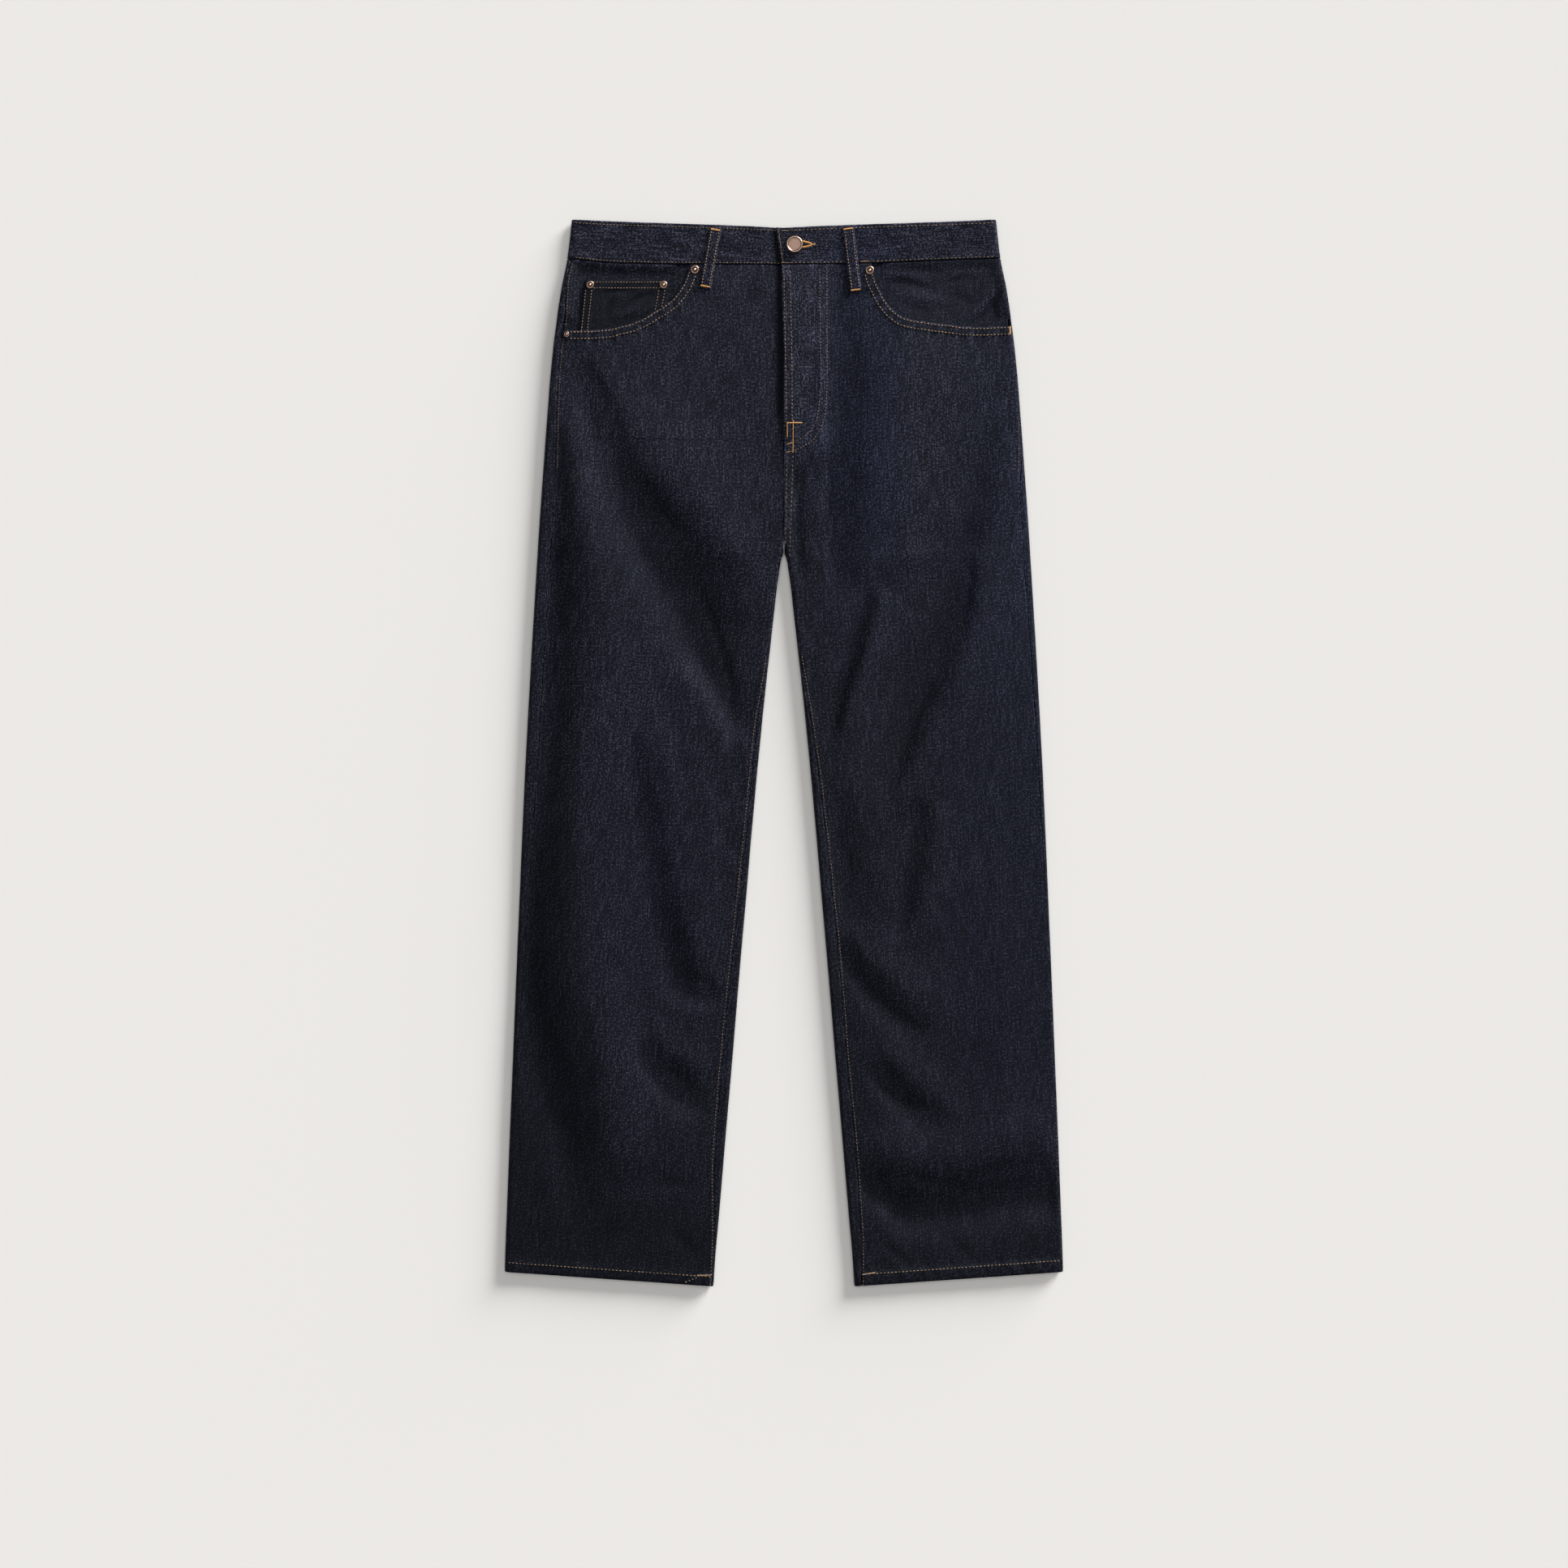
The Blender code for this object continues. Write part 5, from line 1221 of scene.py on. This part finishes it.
def back_pocket(leg):
    """A pointed patch, flat on the floor under the back."""
    half = np.array(BACK_POCKET_HALF)
    rows = rimmed(half[0, 1] - half[-1, 1], BACK_CELL, WALL / 2)[:, None]
    columns = rimmed(2 * half[0, 0], BACK_CELL, WALL / 2)[None, :]
    side_x = half[0, 0] + (half[1, 0] - half[0, 0]) * rows
    x = side_x * (2 * columns - 1)
    point = half[2, 1] + (half[1, 1] - half[2, 1]) * np.abs(2 * columns - 1)
    y = mix(half[0, 1], point, rows)
    cos, sin = math.cos(BACK_POCKET_TILT), math.sin(BACK_POCKET_TILT)
    placed_x = BACK_POCKET_CENTRE[0] + x * cos + y * sin
    placed_y = BACK_POCKET_CENTRE[1] - x * sin + y * cos
    points = np.stack((leg.side * placed_x, placed_y, np.full(x.shape, WALL / 2)), -1)
    name = f"denim_back_pocket_{leg.name}"
    return shell(name, (points, np.full(x.shape, WALL), (x, y), np.zeros(x.shape)), -1)


# ---- sewing ----
SIDES = 6
# place along the stitch, radius share, rise in radii
STITCH_RINGS = (
    (0.0, 0.30, -0.55), (0.12, 0.85, 0.0), (0.35, 1.0, 0.45), (0.65, 1.0, 0.45), (0.88, 0.85, 0.0),
    (1.0, 0.30, -0.55))
STITCH_FEET = (0.1, 0.5, 0.9)  # where the cloth's height is looked up


class Sewing:
    """Stitches of one piece, gathered into one mesh."""

    def __init__(self, name, height, up=1):
        self.name, self.height, self.up = name, height, up
        self.points, self.faces, self.uvs, self.shade = [], [], [], []
        self.random = np.random.default_rng(sum(map(ord, name)))

    def stitch(self, start, end, radius=THREAD, rise=1.0, pale=0.3):
        """One stitch between two x, y points, sunk into the cloth at both ends."""
        (x0, y0), (x1, y1) = start, end
        length = math.hypot(x1 - x0, y1 - y0)
        if length < 1e-6:
            return
        heights = [self.height(x0 + (x1 - x0) * s, y0 + (y1 - y0) * s, self.up) for s in STITCH_FEET]
        if any(h is None for h in heights):
            return
        fitted = np.interp([ring[0] for ring in STITCH_RINGS], STITCH_FEET, heights)
        nx, ny = (y0 - y1) / length, (x1 - x0) / length
        base = len(self.points)
        for (share, size, lift), ground in zip(STITCH_RINGS, fitted):
            z = ground + self.up * radius * lift * rise
            cx, cy = x0 + (x1 - x0) * share, y0 + (y1 - y0) * share
            for k in range(SIDES):
                angle = 2 * math.pi * k / SIDES
                side, up = radius * size * math.cos(angle), radius * size * math.sin(angle)
                self.points.append((cx + nx * side, cy + ny * side, z + up))
                self.uvs.append((k / SIDES / MM, share * length))
        rings = len(STITCH_RINGS)
        for ring in range(rings - 1):
            for k in range(SIDES):
                a, b = base + ring * SIDES + k, base + ring * SIDES + (k + 1) % SIDES
                self.faces.append((a, b, b + SIDES, a + SIDES))
        self.faces.append(tuple(base + k for k in reversed(range(SIDES))))
        self.faces.append(tuple(base + (rings - 1) * SIDES + k for k in range(SIDES)))
        self.shade += [pale + self.random.uniform(-0.25, 0.25)] * (rings * SIDES)

    def row(self, track, pitch, pale=0.35, radius=THREAD, share=STITCH_SHARE):
        """A row of stitches along a track, each a little uneven."""
        count = int(track.length / pitch)
        for number in range(count):
            start = (number + 0.5) * track.length / count
            half = share * pitch / 2 * self.random.uniform(0.92, 1.06)
            ends = [np.array(track.at(s)) for s in (start - half, start + half)]
            sway = self.random.uniform(-0.08, 0.08, 2)
            self.stitch(ends[0] + sway, ends[1] + sway, radius * self.random.uniform(0.92, 1.08), 1.0, pale)

    def tack(self, start, end, width, pale=0.95, radius=0.28, pitch=0.42):
        """A bartack: close stitches across a short line."""
        start, end = np.array(start, float), np.array(end, float)
        length = np.linalg.norm(end - start)
        along = (end - start) / length
        across = np.array((-along[1], along[0])) * width / 2
        for number in range(max(2, int(length / pitch))):
            centre = start + along * (number + 0.5) * pitch
            jog = along * self.random.uniform(-0.1, 0.1)
            self.stitch(centre - across + jog, centre + across - jog, radius, 1.6, pale)

    def finish(self):
        faces = np.array(self.faces, dtype=object)
        piece = mesh_object(self.name, self.points, faces, self.uvs, {"shade": self.shade})
        dress(piece, THREAD_MATERIAL)


def dress(piece, material, node=None):
    """Gives a piece its material and slot and, if a node is named, puts it in that node's place."""
    piece.data.materials.append(material)
    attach(piece, "root")
    if node:
        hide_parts(node)


# ---- materials ----
class Nodes:
    """Short calls for a material's nodes."""

    def __init__(self, name, roughness, metallic=0.0, specular=0.5):
        self.material = bpy.data.materials.new(name)
        self.material.use_nodes = True
        self.tree = self.material.node_tree
        self.shader = self.tree.nodes["Principled BSDF"]
        self.shader.inputs["Roughness"].default_value = roughness
        self.shader.inputs["Metallic"].default_value = metallic
        self.shader.inputs["Specular IOR Level"].default_value = specular

    def set(self, socket, value):
        if isinstance(value, bpy.types.NodeSocket):
            self.tree.links.new(value, socket)
        else:
            socket.default_value = value

    def math(self, operation, a, b=0.0, c=0.0, clamp=False):
        node = self.tree.nodes.new("ShaderNodeMath")
        node.operation = operation
        node.use_clamp = clamp
        for socket, value in zip(node.inputs, (a, b, c)):
            self.set(socket, value)
        return node.outputs[0]

    def add(self, a, b):
        return self.math("ADD", a, b)

    def times(self, a, b):
        return self.math("MULTIPLY", a, b)

    def range(self, value, low, high, to_low=0.0, to_high=1.0):
        node = self.tree.nodes.new("ShaderNodeMapRange")
        for socket, item in zip(node.inputs, (value, low, high, to_low, to_high)):
            self.set(socket, item)
        return node.outputs[0]

    def uv(self):
        node = self.tree.nodes.new("ShaderNodeUVMap")
        node.uv_map = "cloth"
        return node.outputs[0]

    def value(self, name):
        node = self.tree.nodes.new("ShaderNodeAttribute")
        node.attribute_name = name
        return node.outputs["Fac"]

    def split(self, vector):
        node = self.tree.nodes.new("ShaderNodeSeparateXYZ")
        self.set(node.inputs[0], vector)
        return node.outputs[:2]

    def join(self, x, y):
        node = self.tree.nodes.new("ShaderNodeCombineXYZ")
        self.set(node.inputs[0], x)
        self.set(node.inputs[1], y)
        return node.outputs[0]

    def scaled(self, vector, x, y, z=1.0, shift=(0, 0, 0)):
        node = self.tree.nodes.new("ShaderNodeMapping")
        self.set(node.inputs["Vector"], vector)
        node.inputs["Scale"].default_value = (x, y, z)
        node.inputs["Location"].default_value = shift
        return node.outputs[0]

    def noise(self, vector, detail=2.0, rough=0.5, distortion=0.0):
        node = self.tree.nodes.new("ShaderNodeTexNoise")
        self.set(node.inputs["Vector"], vector)
        node.inputs["Scale"].default_value = 1.0
        node.inputs["Detail"].default_value = detail
        node.inputs["Roughness"].default_value = rough
        node.inputs["Distortion"].default_value = distortion
        return node.outputs["Fac"]

    def blend(self, share, first, second, how="MIX"):
        node = self.tree.nodes.new("ShaderNodeMix")
        node.data_type = "RGBA"
        node.blend_type = how
        self.set(node.inputs["Factor"], share)
        self.set(node.inputs["A"], (*first, 1) if isinstance(first, tuple) else first)
        self.set(node.inputs["B"], (*second, 1) if isinstance(second, tuple) else second)
        return node.outputs["Result"]

    def strengthened(self, colour, factor):
        node = self.tree.nodes.new("ShaderNodeVectorMath")
        node.operation = "SCALE"
        self.set(node.inputs[0], colour)
        self.set(node.inputs["Scale"], factor)
        return node.outputs[0]

    def ramp(self, share, stops):
        node = self.tree.nodes.new("ShaderNodeValToRGB")
        self.set(node.inputs["Fac"], share)
        elements = node.color_ramp.elements
        while len(elements) < len(stops):
            elements.new(0.5)
        for element, (place, colour) in zip(elements, stops):
            element.position = place
            element.color = (*colour, 1)
        return node.outputs["Color"]

    def bump(self, height, distance, strength=1.0):
        node = self.tree.nodes.new("ShaderNodeBump")
        node.inputs["Strength"].default_value = strength
        node.inputs["Distance"].default_value = distance
        self.set(node.inputs["Height"], height)
        return node.outputs[0]


def denim():
    """Unwashed indigo twill: warp streaks, slubs and pale flecks, with painted light on ridges and painted
    shade in troughs, creases and gaps.
    """
    n = Nodes("denim", 0.60, specular=0.13)
    n.shader.inputs["Specular Tint"].default_value = (0.66, 0.76, 1.0, 1)
    per_mm = 1 / MM
    uv = n.uv()
    u, v = n.split(uv)
    slanted = n.join(n.add(u, n.times(v, 0.45)), v)
    twill = n.math("SINE", n.times(n.add(u, n.times(v, 0.62)), 2 * math.pi * per_mm / 1.1))
    warp = n.math("SINE", n.times(u, 2 * math.pi * per_mm / 0.55))
    # field, its gain in the colour and in the relief
    fields = (
        (n.noise(n.scaled(uv, per_mm / 1.0, per_mm / 24), 3.0, 0.6), 1.9, 1.2),
        (n.noise(n.scaled(uv, per_mm / 0.8, per_mm / 3.5, shift=(31, 7, 0)), 2.0, 0.6), 0.8, 0.8),
        (n.noise(n.scaled(slanted, per_mm / 1.7, per_mm / 1.9, shift=(5, 59, 0)), 2.0, 0.6), 3.4, 2.8),
        (n.noise(n.scaled(uv, per_mm / 14, per_mm / 34, shift=(11, 3, 0)), 2.0, 0.5), 0.35, 0.0))
    pale = n.add(0.42, n.times(twill, 0.03))
    relief = n.add(n.times(twill, 0.4), n.times(warp, 0.3))
    for field, colour_gain, relief_gain in fields:
        pale = n.add(pale, n.times(n.math("SUBTRACT", field, 0.5), colour_gain))
        relief = n.add(relief, n.times(field, relief_gain))
    colour = n.ramp(n.math("ADD", pale, 0.0, clamp=True), (
        (0.0, (0.0008, 0.0009, 0.0016)), (0.3, (0.0031, 0.0033, 0.0063)), (0.6, (0.0098, 0.0101, 0.0184)),
        (1.0, (0.048, 0.048, 0.067))))
    # tone holds painted light on ridges and painted shade in troughs, creases, gaps and recessed pockets; the
    # rim adds a paler line, partly edge wear and partly a painted highlight
    tone = n.add(n.value("tone"), n.times(n.math("POWER", n.value("rim"), 2.0), RIM_TONE))
    colour = n.blend(n.value("bluer"), colour, (0.78, 0.88, 1.14), "MULTIPLY")
    n.set(n.shader.inputs["Base Color"], n.strengthened(colour, n.math("POWER", TONE_STEP, tone)))
    n.set(n.shader.inputs["Normal"], n.bump(relief, 0.00014, 1.0))
    return n.material


def thread():
    """Tan topstitching thread: two plies that wind round each stitch, with painted shade between them."""
    n = Nodes("thread", 0.6, specular=0.35)
    x, y = n.split(n.uv())
    twist = n.math("SINE", n.add(n.times(x, 4 * math.pi), n.times(y, 2 * math.pi / (0.9 * MM))))
    shade = n.value("shade")
    # the twist also paints shade between the plies and light on them
    light = n.math("ADD", shade, n.times(twist, 0.12), clamp=True)
    n.set(n.shader.inputs["Base Color"], n.ramp(light, (
        (0.0, (0.080, 0.052, 0.035)), (0.5, (0.26, 0.182, 0.120)), (0.8, (0.44, 0.255, 0.120)),
        (1.0, (0.64, 0.30, 0.075)))))
    n.set(n.shader.inputs["Normal"], n.bump(twist, 0.00006, 0.8))
    return n.material


def copper():
    """Copper plate, slightly dulled and unevenly so."""
    n = Nodes("copper", 0.32, metallic=1.0)
    place = n.tree.nodes.new("ShaderNodeTexCoord").outputs["Object"]
    spots = n.noise(n.scaled(place, 900, 900, 900), 3.0, 0.6)
    brushed = n.noise(n.scaled(place, 3000, 2400, 2600), 2.0, 0.5)
    dirt = n.math("ADD", n.value("dirt"), n.times(n.math("SUBTRACT", spots, 0.5), 0.8), clamp=True)
    plate = n.blend(n.range(spots, 0.35, 0.7), (0.46, 0.275, 0.205), (0.70, 0.50, 0.40))
    n.set(n.shader.inputs["Base Color"], n.blend(dirt, plate, (0.040, 0.026, 0.022)))
    n.set(n.shader.inputs["Roughness"], n.range(spots, 0.3, 0.7, 0.28, 0.42))
    n.set(n.shader.inputs["Normal"], n.bump(brushed, 0.00002, 0.5))
    return n.material


# ---- metal ----
RIVETS = {
    "rivet_pocket_right": 4.5, "rivet_pocket_left": 4.5, "rivet_coin_inner": 4.0, "rivet_coin_outer": 4.0,
    "rivet_side_right": 2.8}
BUTTON_RADIUS = 8.4
# radius and height round a turned cap, as shares of its radius, and how dark its dirt is there
RIVET_PROFILE = (
    (1.0, -0.10, 0.8), (1.0, 0.05, 0.7), (0.985, 0.12, 0.5), (0.94, 0.19, 0.35), (0.86, 0.24, 0.45),
    (0.74, 0.27, 0.6), (0.66, 0.275, 0.75), (0.60, 0.25, 0.9), (0.54, 0.20, 1), (0.47, 0.17, 1),
    (0.41, 0.18, 1), (0.37, 0.23, 0.8), (0.33, 0.30, 0.3), (0.28, 0.36, 0), (0.20, 0.40, 0), (0.12, 0.42, 0),
    (0.05, 0.425, 0))
BUTTON_PROFILE = (
    (0.97, -0.04, 0.8), (1.0, 0.03, 0.7), (1.0, 0.12, 0.5), (0.99, 0.20, 0.3), (0.96, 0.26, 0.15),
    (0.91, 0.295, 0.1), (0.86, 0.295, 0.1), (0.82, 0.27, 0.1), (0.79, 0.235, 0.5), (0.75, 0.215, 0.8),
    (0.70, 0.212, 0.75), (0.62, 0.212, 0.7), (0.40, 0.215, 0.67), (0.15, 0.217, 0.67))


def turned(node, radius, profile, segments):
    """A cap turned about the middle of its node, with its foot at the node's."""
    low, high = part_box(node)
    centre = [(low[k] + high[k]) / 2 / MM for k in (0, 1)]
    points, faces, dirt = [], [], []
    for share, height, dark in profile:
        dirt += [dark] * segments
        for step in range(segments):
            angle = 2 * math.pi * step / segments
            points.append((centre[0] + radius * share * math.cos(angle),
                           centre[1] + radius * share * math.sin(angle), low[2] / MM + radius * height))
    for ring in range(len(profile) - 1):
        for step in range(segments):
            a, b = ring * segments + step, ring * segments + (step + 1) % segments
            faces.append((a, b, b + segments, a + segments))
    last = (len(profile) - 1) * segments
    points.append((*centre, low[2] / MM + radius * profile[-1][1]))
    faces += [(last + step, last + (step + 1) % segments, len(points) - 1) for step in range(segments)]
    faces.append(tuple(reversed(range(segments))))
    piece = mesh_object(f"copper_{node}", points, np.array(faces, dtype=object), None,
                        {"dirt": dirt + [profile[-1][2]]})
    dress(piece, COPPER, node)


# ---- build ----
DENIM, THREAD_MATERIAL, COPPER = denim(), thread(), copper()
LEGS = {side: Leg(side) for side in (-1, 1)}
pieces = {}


def cloth_piece(piece, node):
    """Puts a shell in its node's place and keeps it under that node's name."""
    dress(piece, DENIM, node)
    pieces[node] = piece


for leg in LEGS.values():
    name = leg.name
    cloth_piece(shell(f"denim_front_{name}", leg.front()), f"front_{name}")
    cloth_piece(shell(f"denim_back_{name}", leg.back(), -1), f"back_{name}")
    cloth_piece(shell(f"denim_yoke_{name}", leg.yoke(), -1), f"yoke_{name}")
    cloth_piece(shell(f"denim_facing_{name}", leg.facing()), f"pocket_facing_{name}")
    cloth_piece(back_pocket(leg), f"back_pocket_{name}")
cloth_piece(shell("denim_coin_pocket", LEGS[-1].coin_pocket()), "coin_pocket")
cloth_piece(shell("denim_waistband", waistband(), -1), "waistband")

on_waist = surface([pieces["waistband"], pieces["front_right"], pieces["front_left"]])
for name, ends in LOOPS.items():
    piece = loop_strip(f"denim_belt_loop_front_{name}", ends, LOOP_WALL, on_waist, LOOP_ARCH)
    cloth_piece(piece, f"belt_loop_front_{name}")
wall = LIFT - GAP
for name, xs in BACK_LOOPS.items():
    ends = tuple(zip(xs, BACK_LOOP_Y))
    piece = loop_strip(f"denim_belt_loop_back_{name}", ends, wall, lambda x, y: wall + LOOP_CLEAR, 0.0, -1)
    cloth_piece(piece, f"belt_loop_back_{name}")

for node, radius in RIVETS.items():
    turned(node, radius, RIVET_PROFILE, 40)
turned("button", BUTTON_RADIUS, BUTTON_PROFILE, 72)


# ---- topstitching ----
def sew_fronts():
    for side, leg in LEGS.items():
        sewing = Sewing(f"stitches_front_{leg.name}", surface([pieces[f"front_{leg.name}"]]))
        mouth = leg.mouth_to(MOUTH_SEWN_TO[side]).mirrored(side)
        for distance in (ROW_INSET, ROW_INSET + ROW_APART):
            sewing.row(mouth.moved(-side * distance).part(6 + distance * 0.4, -0.1), *MOUTH_STITCH)
        inner, outer = (at(edge, y) for edge, y in zip(("inner", "outer"), HEM_ROW_ENDS))
        xs = np.linspace(inner + HEM_ROW_INSET, outer - HEM_ROW_INSET, 60)
        sewing.row(curve(side * xs, hem(xs) + HEM_ROW[side]), *HEM_STITCH[side])
        ys = np.linspace(*INSEAM_ROW_Y, 120)
        seam_x = at("inner", ys) + leg.seam("inseam", ys) + INSEAM_ROW
        sewing.row(curve(side * seam_x, ys), *INSEAM_STITCH)
        # the row beside the outseam ends in a closer stretch at the hip
        start, end = HIP_ROW_Y[side]
        sew_outseam(sewing, leg, (start, end + HIP_TACK), OUTSEAM_ROW, HIP_STITCH)
        sew_outseam(sewing, leg, (end + HIP_TACK, end), OUTSEAM_ROW, HIP_TACK_STITCH)
        for start, end in HEM_TACKS[side]:
            sewing.tack(start, end, 1.5, 0.5, pitch=0.55)
        if side > 0:
            sew_fly(sewing)
        else:
            sewing.row(track(HEM_THREAD), *LOOSE_STITCH)
        sewing.finish()


def sew_outseam(sewing, leg, reach, inset, stitch):
    """A row beside the outseam, between two heights."""
    ys = np.linspace(*reach, 30)
    sewing.row(curve(leg.side * (leg.outseam_x(ys) - inset), ys), *stitch)


def sew_fly(sewing):
    sewing.tack(*SIDE_TACK, 2.0, 0.75)
    for inset in FLY_EDGE_ROWS:
        sewing.row(FLY_EDGE.moved(inset).part(3, -22), *FLY_EDGE_STITCH)
    for line in (J_INNER, J_OUTER):
        sewing.row(line.part(1, -1), *J_STITCH)
    for line in CROTCH_ROWS:
        sewing.row(track(line), *CROTCH_STITCH)
    for line in FLY_ENDS:
        sewing.row(track(line), *FLY_END_STITCH)
    sewing.tack(*FLY_TACK, 1.5, 0.9)


def sew_band():
    sewing = Sewing("stitches_waistband", surface([pieces["waistband"]]))
    for side in (-1, 1):
        for share in BAND_ROWS:
            xs = np.linspace(*BAND_ROW_X[side], 120)
            sewing.row(curve(xs, band_line(side, xs, share)), *BAND_STITCH[side])
    sewing.row(track([(FLAP_END[0] + FLAP_ROW_INSET + (FLAP_END[1] - FLAP_END[0]) * s, band_line(1, 0.0, s))
                      for s in FLAP_ROW]), *FLAP_STITCH)
    sewing.row(track(BAND_MEND), *BAND_MEND_STITCH)
    sewing.finish()


def sew_facing():
    """The row beside the right outseam, above the pocket's mouth."""
    sewing = Sewing("stitches_facing_right", surface([pieces["pocket_facing_right"]]))
    sew_outseam(sewing, LEGS[-1], FACING_ROW_Y, FACING_ROW, FACING_STITCH)
    sewing.finish()


def sew_coin():
    sewing = Sewing("stitches_coin_pocket", surface([pieces["coin_pocket"]]))
    for drop in COIN_TOP_ROWS:
        sewing.row(track([(x, COIN_TOP_Y - drop) for x in COIN_TOP_ROW_X]), *COIN_STITCH)
    for (x, lean), inward in ((COIN_INNER, 1), (COIN_OUTER, -1)):
        for inset in COIN_SIDE_ROWS:
            line = [(-(x + drop * lean + inward * inset), COIN_TOP_Y - drop) for drop in COIN_SIDE_ROW_DROP]
            sewing.row(track(line), *COIN_STITCH)
    sewing.finish()


def sew_loops():
    for name, ((x0, y0), (x1, y1)) in LOOPS.items():
        sewing = Sewing(f"stitches_belt_loop_{name}", surface([pieces[f"belt_loop_front_{name}"]]))
        length = math.hypot(x1 - x0, y1 - y0)
        nx, ny = (y0 - y1) / length, (x1 - x0) / length
        for off in (-LOOP_ROW, LOOP_ROW):
            line = track(((x0 + nx * off, y0 + ny * off), (x1 + nx * off, y1 + ny * off)))
            sewing.row(line.part(LOOP_ROW_END, -LOOP_ROW_END), *LOOP_STITCH)
        for s in (LOOP_TACK / length, 1 - LOOP_TACK / length):
            x, y = x0 + (x1 - x0) * s, y0 + (y1 - y0) * s
            start, end = ((x + nx * off, y + ny * off) for off in (-LOOP_TACK_HALF, LOOP_TACK_HALF))
            sewing.tack(start, end, 1.8, 0.98)
        sewing.finish()


def sew_buttonhole():
    """Close stitches round the keyhole buttonhole that the button stands in."""
    sewing = Sewing("stitches_buttonhole", surface([pieces["waistband"]]))
    low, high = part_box("button")
    x, y = ((low[k] + high[k]) / 2 / MM for k in (0, 1))
    outline = track(np.array(KEYHOLE) + (x, y))
    for s in np.arange(0, outline.length, KEYHOLE_PITCH):
        px, py = outline.at(s)
        qx, qy = outline.at(s + 0.3)
        length = math.hypot(qx - px, qy - py) + 1e-9
        nx, ny = (py - qy) / length, (qx - px) / length
        sewing.stitch((px - nx, py - ny), (px + nx, py + ny), 0.30, 1.8, 1.0)
    tip = x + KEYHOLE_TIP
    for angle, length in TIP_ENDS:
        a = math.radians(angle)
        end = (tip - 0.5 + length * math.cos(a), y + length * math.sin(a))
        sewing.stitch((tip - 1.5, y), end, 0.25, 1.4, 0.7)
    sewing.finish()


sew_fronts()
sew_band()
sew_facing()
sew_coin()
sew_loops()
sew_buttonhole()


# ---- floor, light and camera ----
FLOOR_REACH = 40.0  # metres, so that no low view sees its end
FLOOR_DROP = -0.2
FLOOR_COLOUR = (0.790, 0.773, 0.746)


def floor():
    mesh = bpy.data.meshes.new("floor")
    mesh.from_pydata([(x * FLOOR_REACH, y * FLOOR_REACH, 0) for x, y in ((-1, -1), (1, -1), (1, 1), (-1, 1))],
                     [], [(0, 1, 2, 3)])
    piece = bpy.data.objects.new("floor", mesh)
    piece.location.z = FLOOR_DROP * MM
    bpy.context.scene.collection.objects.link(piece)
    n = Nodes("floor", 0.9, specular=0.0)
    n.shader.inputs["Base Color"].default_value = (*FLOOR_COLOUR, 1)
    piece.data.materials.append(n.material)


# Azimuth, elevation, strength and the width of the sun's disc.
SUNS = {"key": (48, 14, 6.8, 30), "top": (60, 88, 1.15, 50)}
SKY = 0.17


def sun(name, azimuth, elevation, strength, angle):
    """A broad, even light from this direction: azimuth 0 is +X and 90 is +Y."""
    light = bpy.data.lights.new(name, "SUN")
    light.energy = strength
    light.angle = math.radians(angle)
    lamp = bpy.data.objects.new(name, light)
    a, e = math.radians(azimuth), math.radians(elevation)
    toward = Vector((math.cos(a) * math.cos(e), math.sin(a) * math.cos(e), math.sin(e)))
    lamp.rotation_euler = toward.to_track_quat("Z", "Y").to_euler()
    bpy.context.scene.collection.objects.link(lamp)


def light():
    for name, direction in SUNS.items():
        sun(name, *direction)
    world = bpy.data.worlds.new("world")
    world.use_nodes = True
    background = world.node_tree.nodes["Background"]
    background.inputs["Color"].default_value = (1, 1, 1, 1)
    background.inputs["Strength"].default_value = SKY
    bpy.context.scene.world = world


PHOTO_WIDTH = 1.584  # metres of floor across the picture
PHOTO_CENTRE = (0.0001, -0.0315)
LENS = 100.0
SENSOR = 36.0


def camera():
    data = bpy.data.cameras.new("camera")
    data.lens = LENS
    data.sensor_width = SENSOR
    data.clip_end = 50
    view = bpy.data.objects.new("camera", data)
    view.location = (*PHOTO_CENTRE, PHOTO_WIDTH * LENS / SENSOR)
    bpy.context.scene.collection.objects.link(view)
    bpy.context.scene.camera = view
    bpy.context.scene.view_settings.view_transform = "Standard"


floor()
light()
camera()
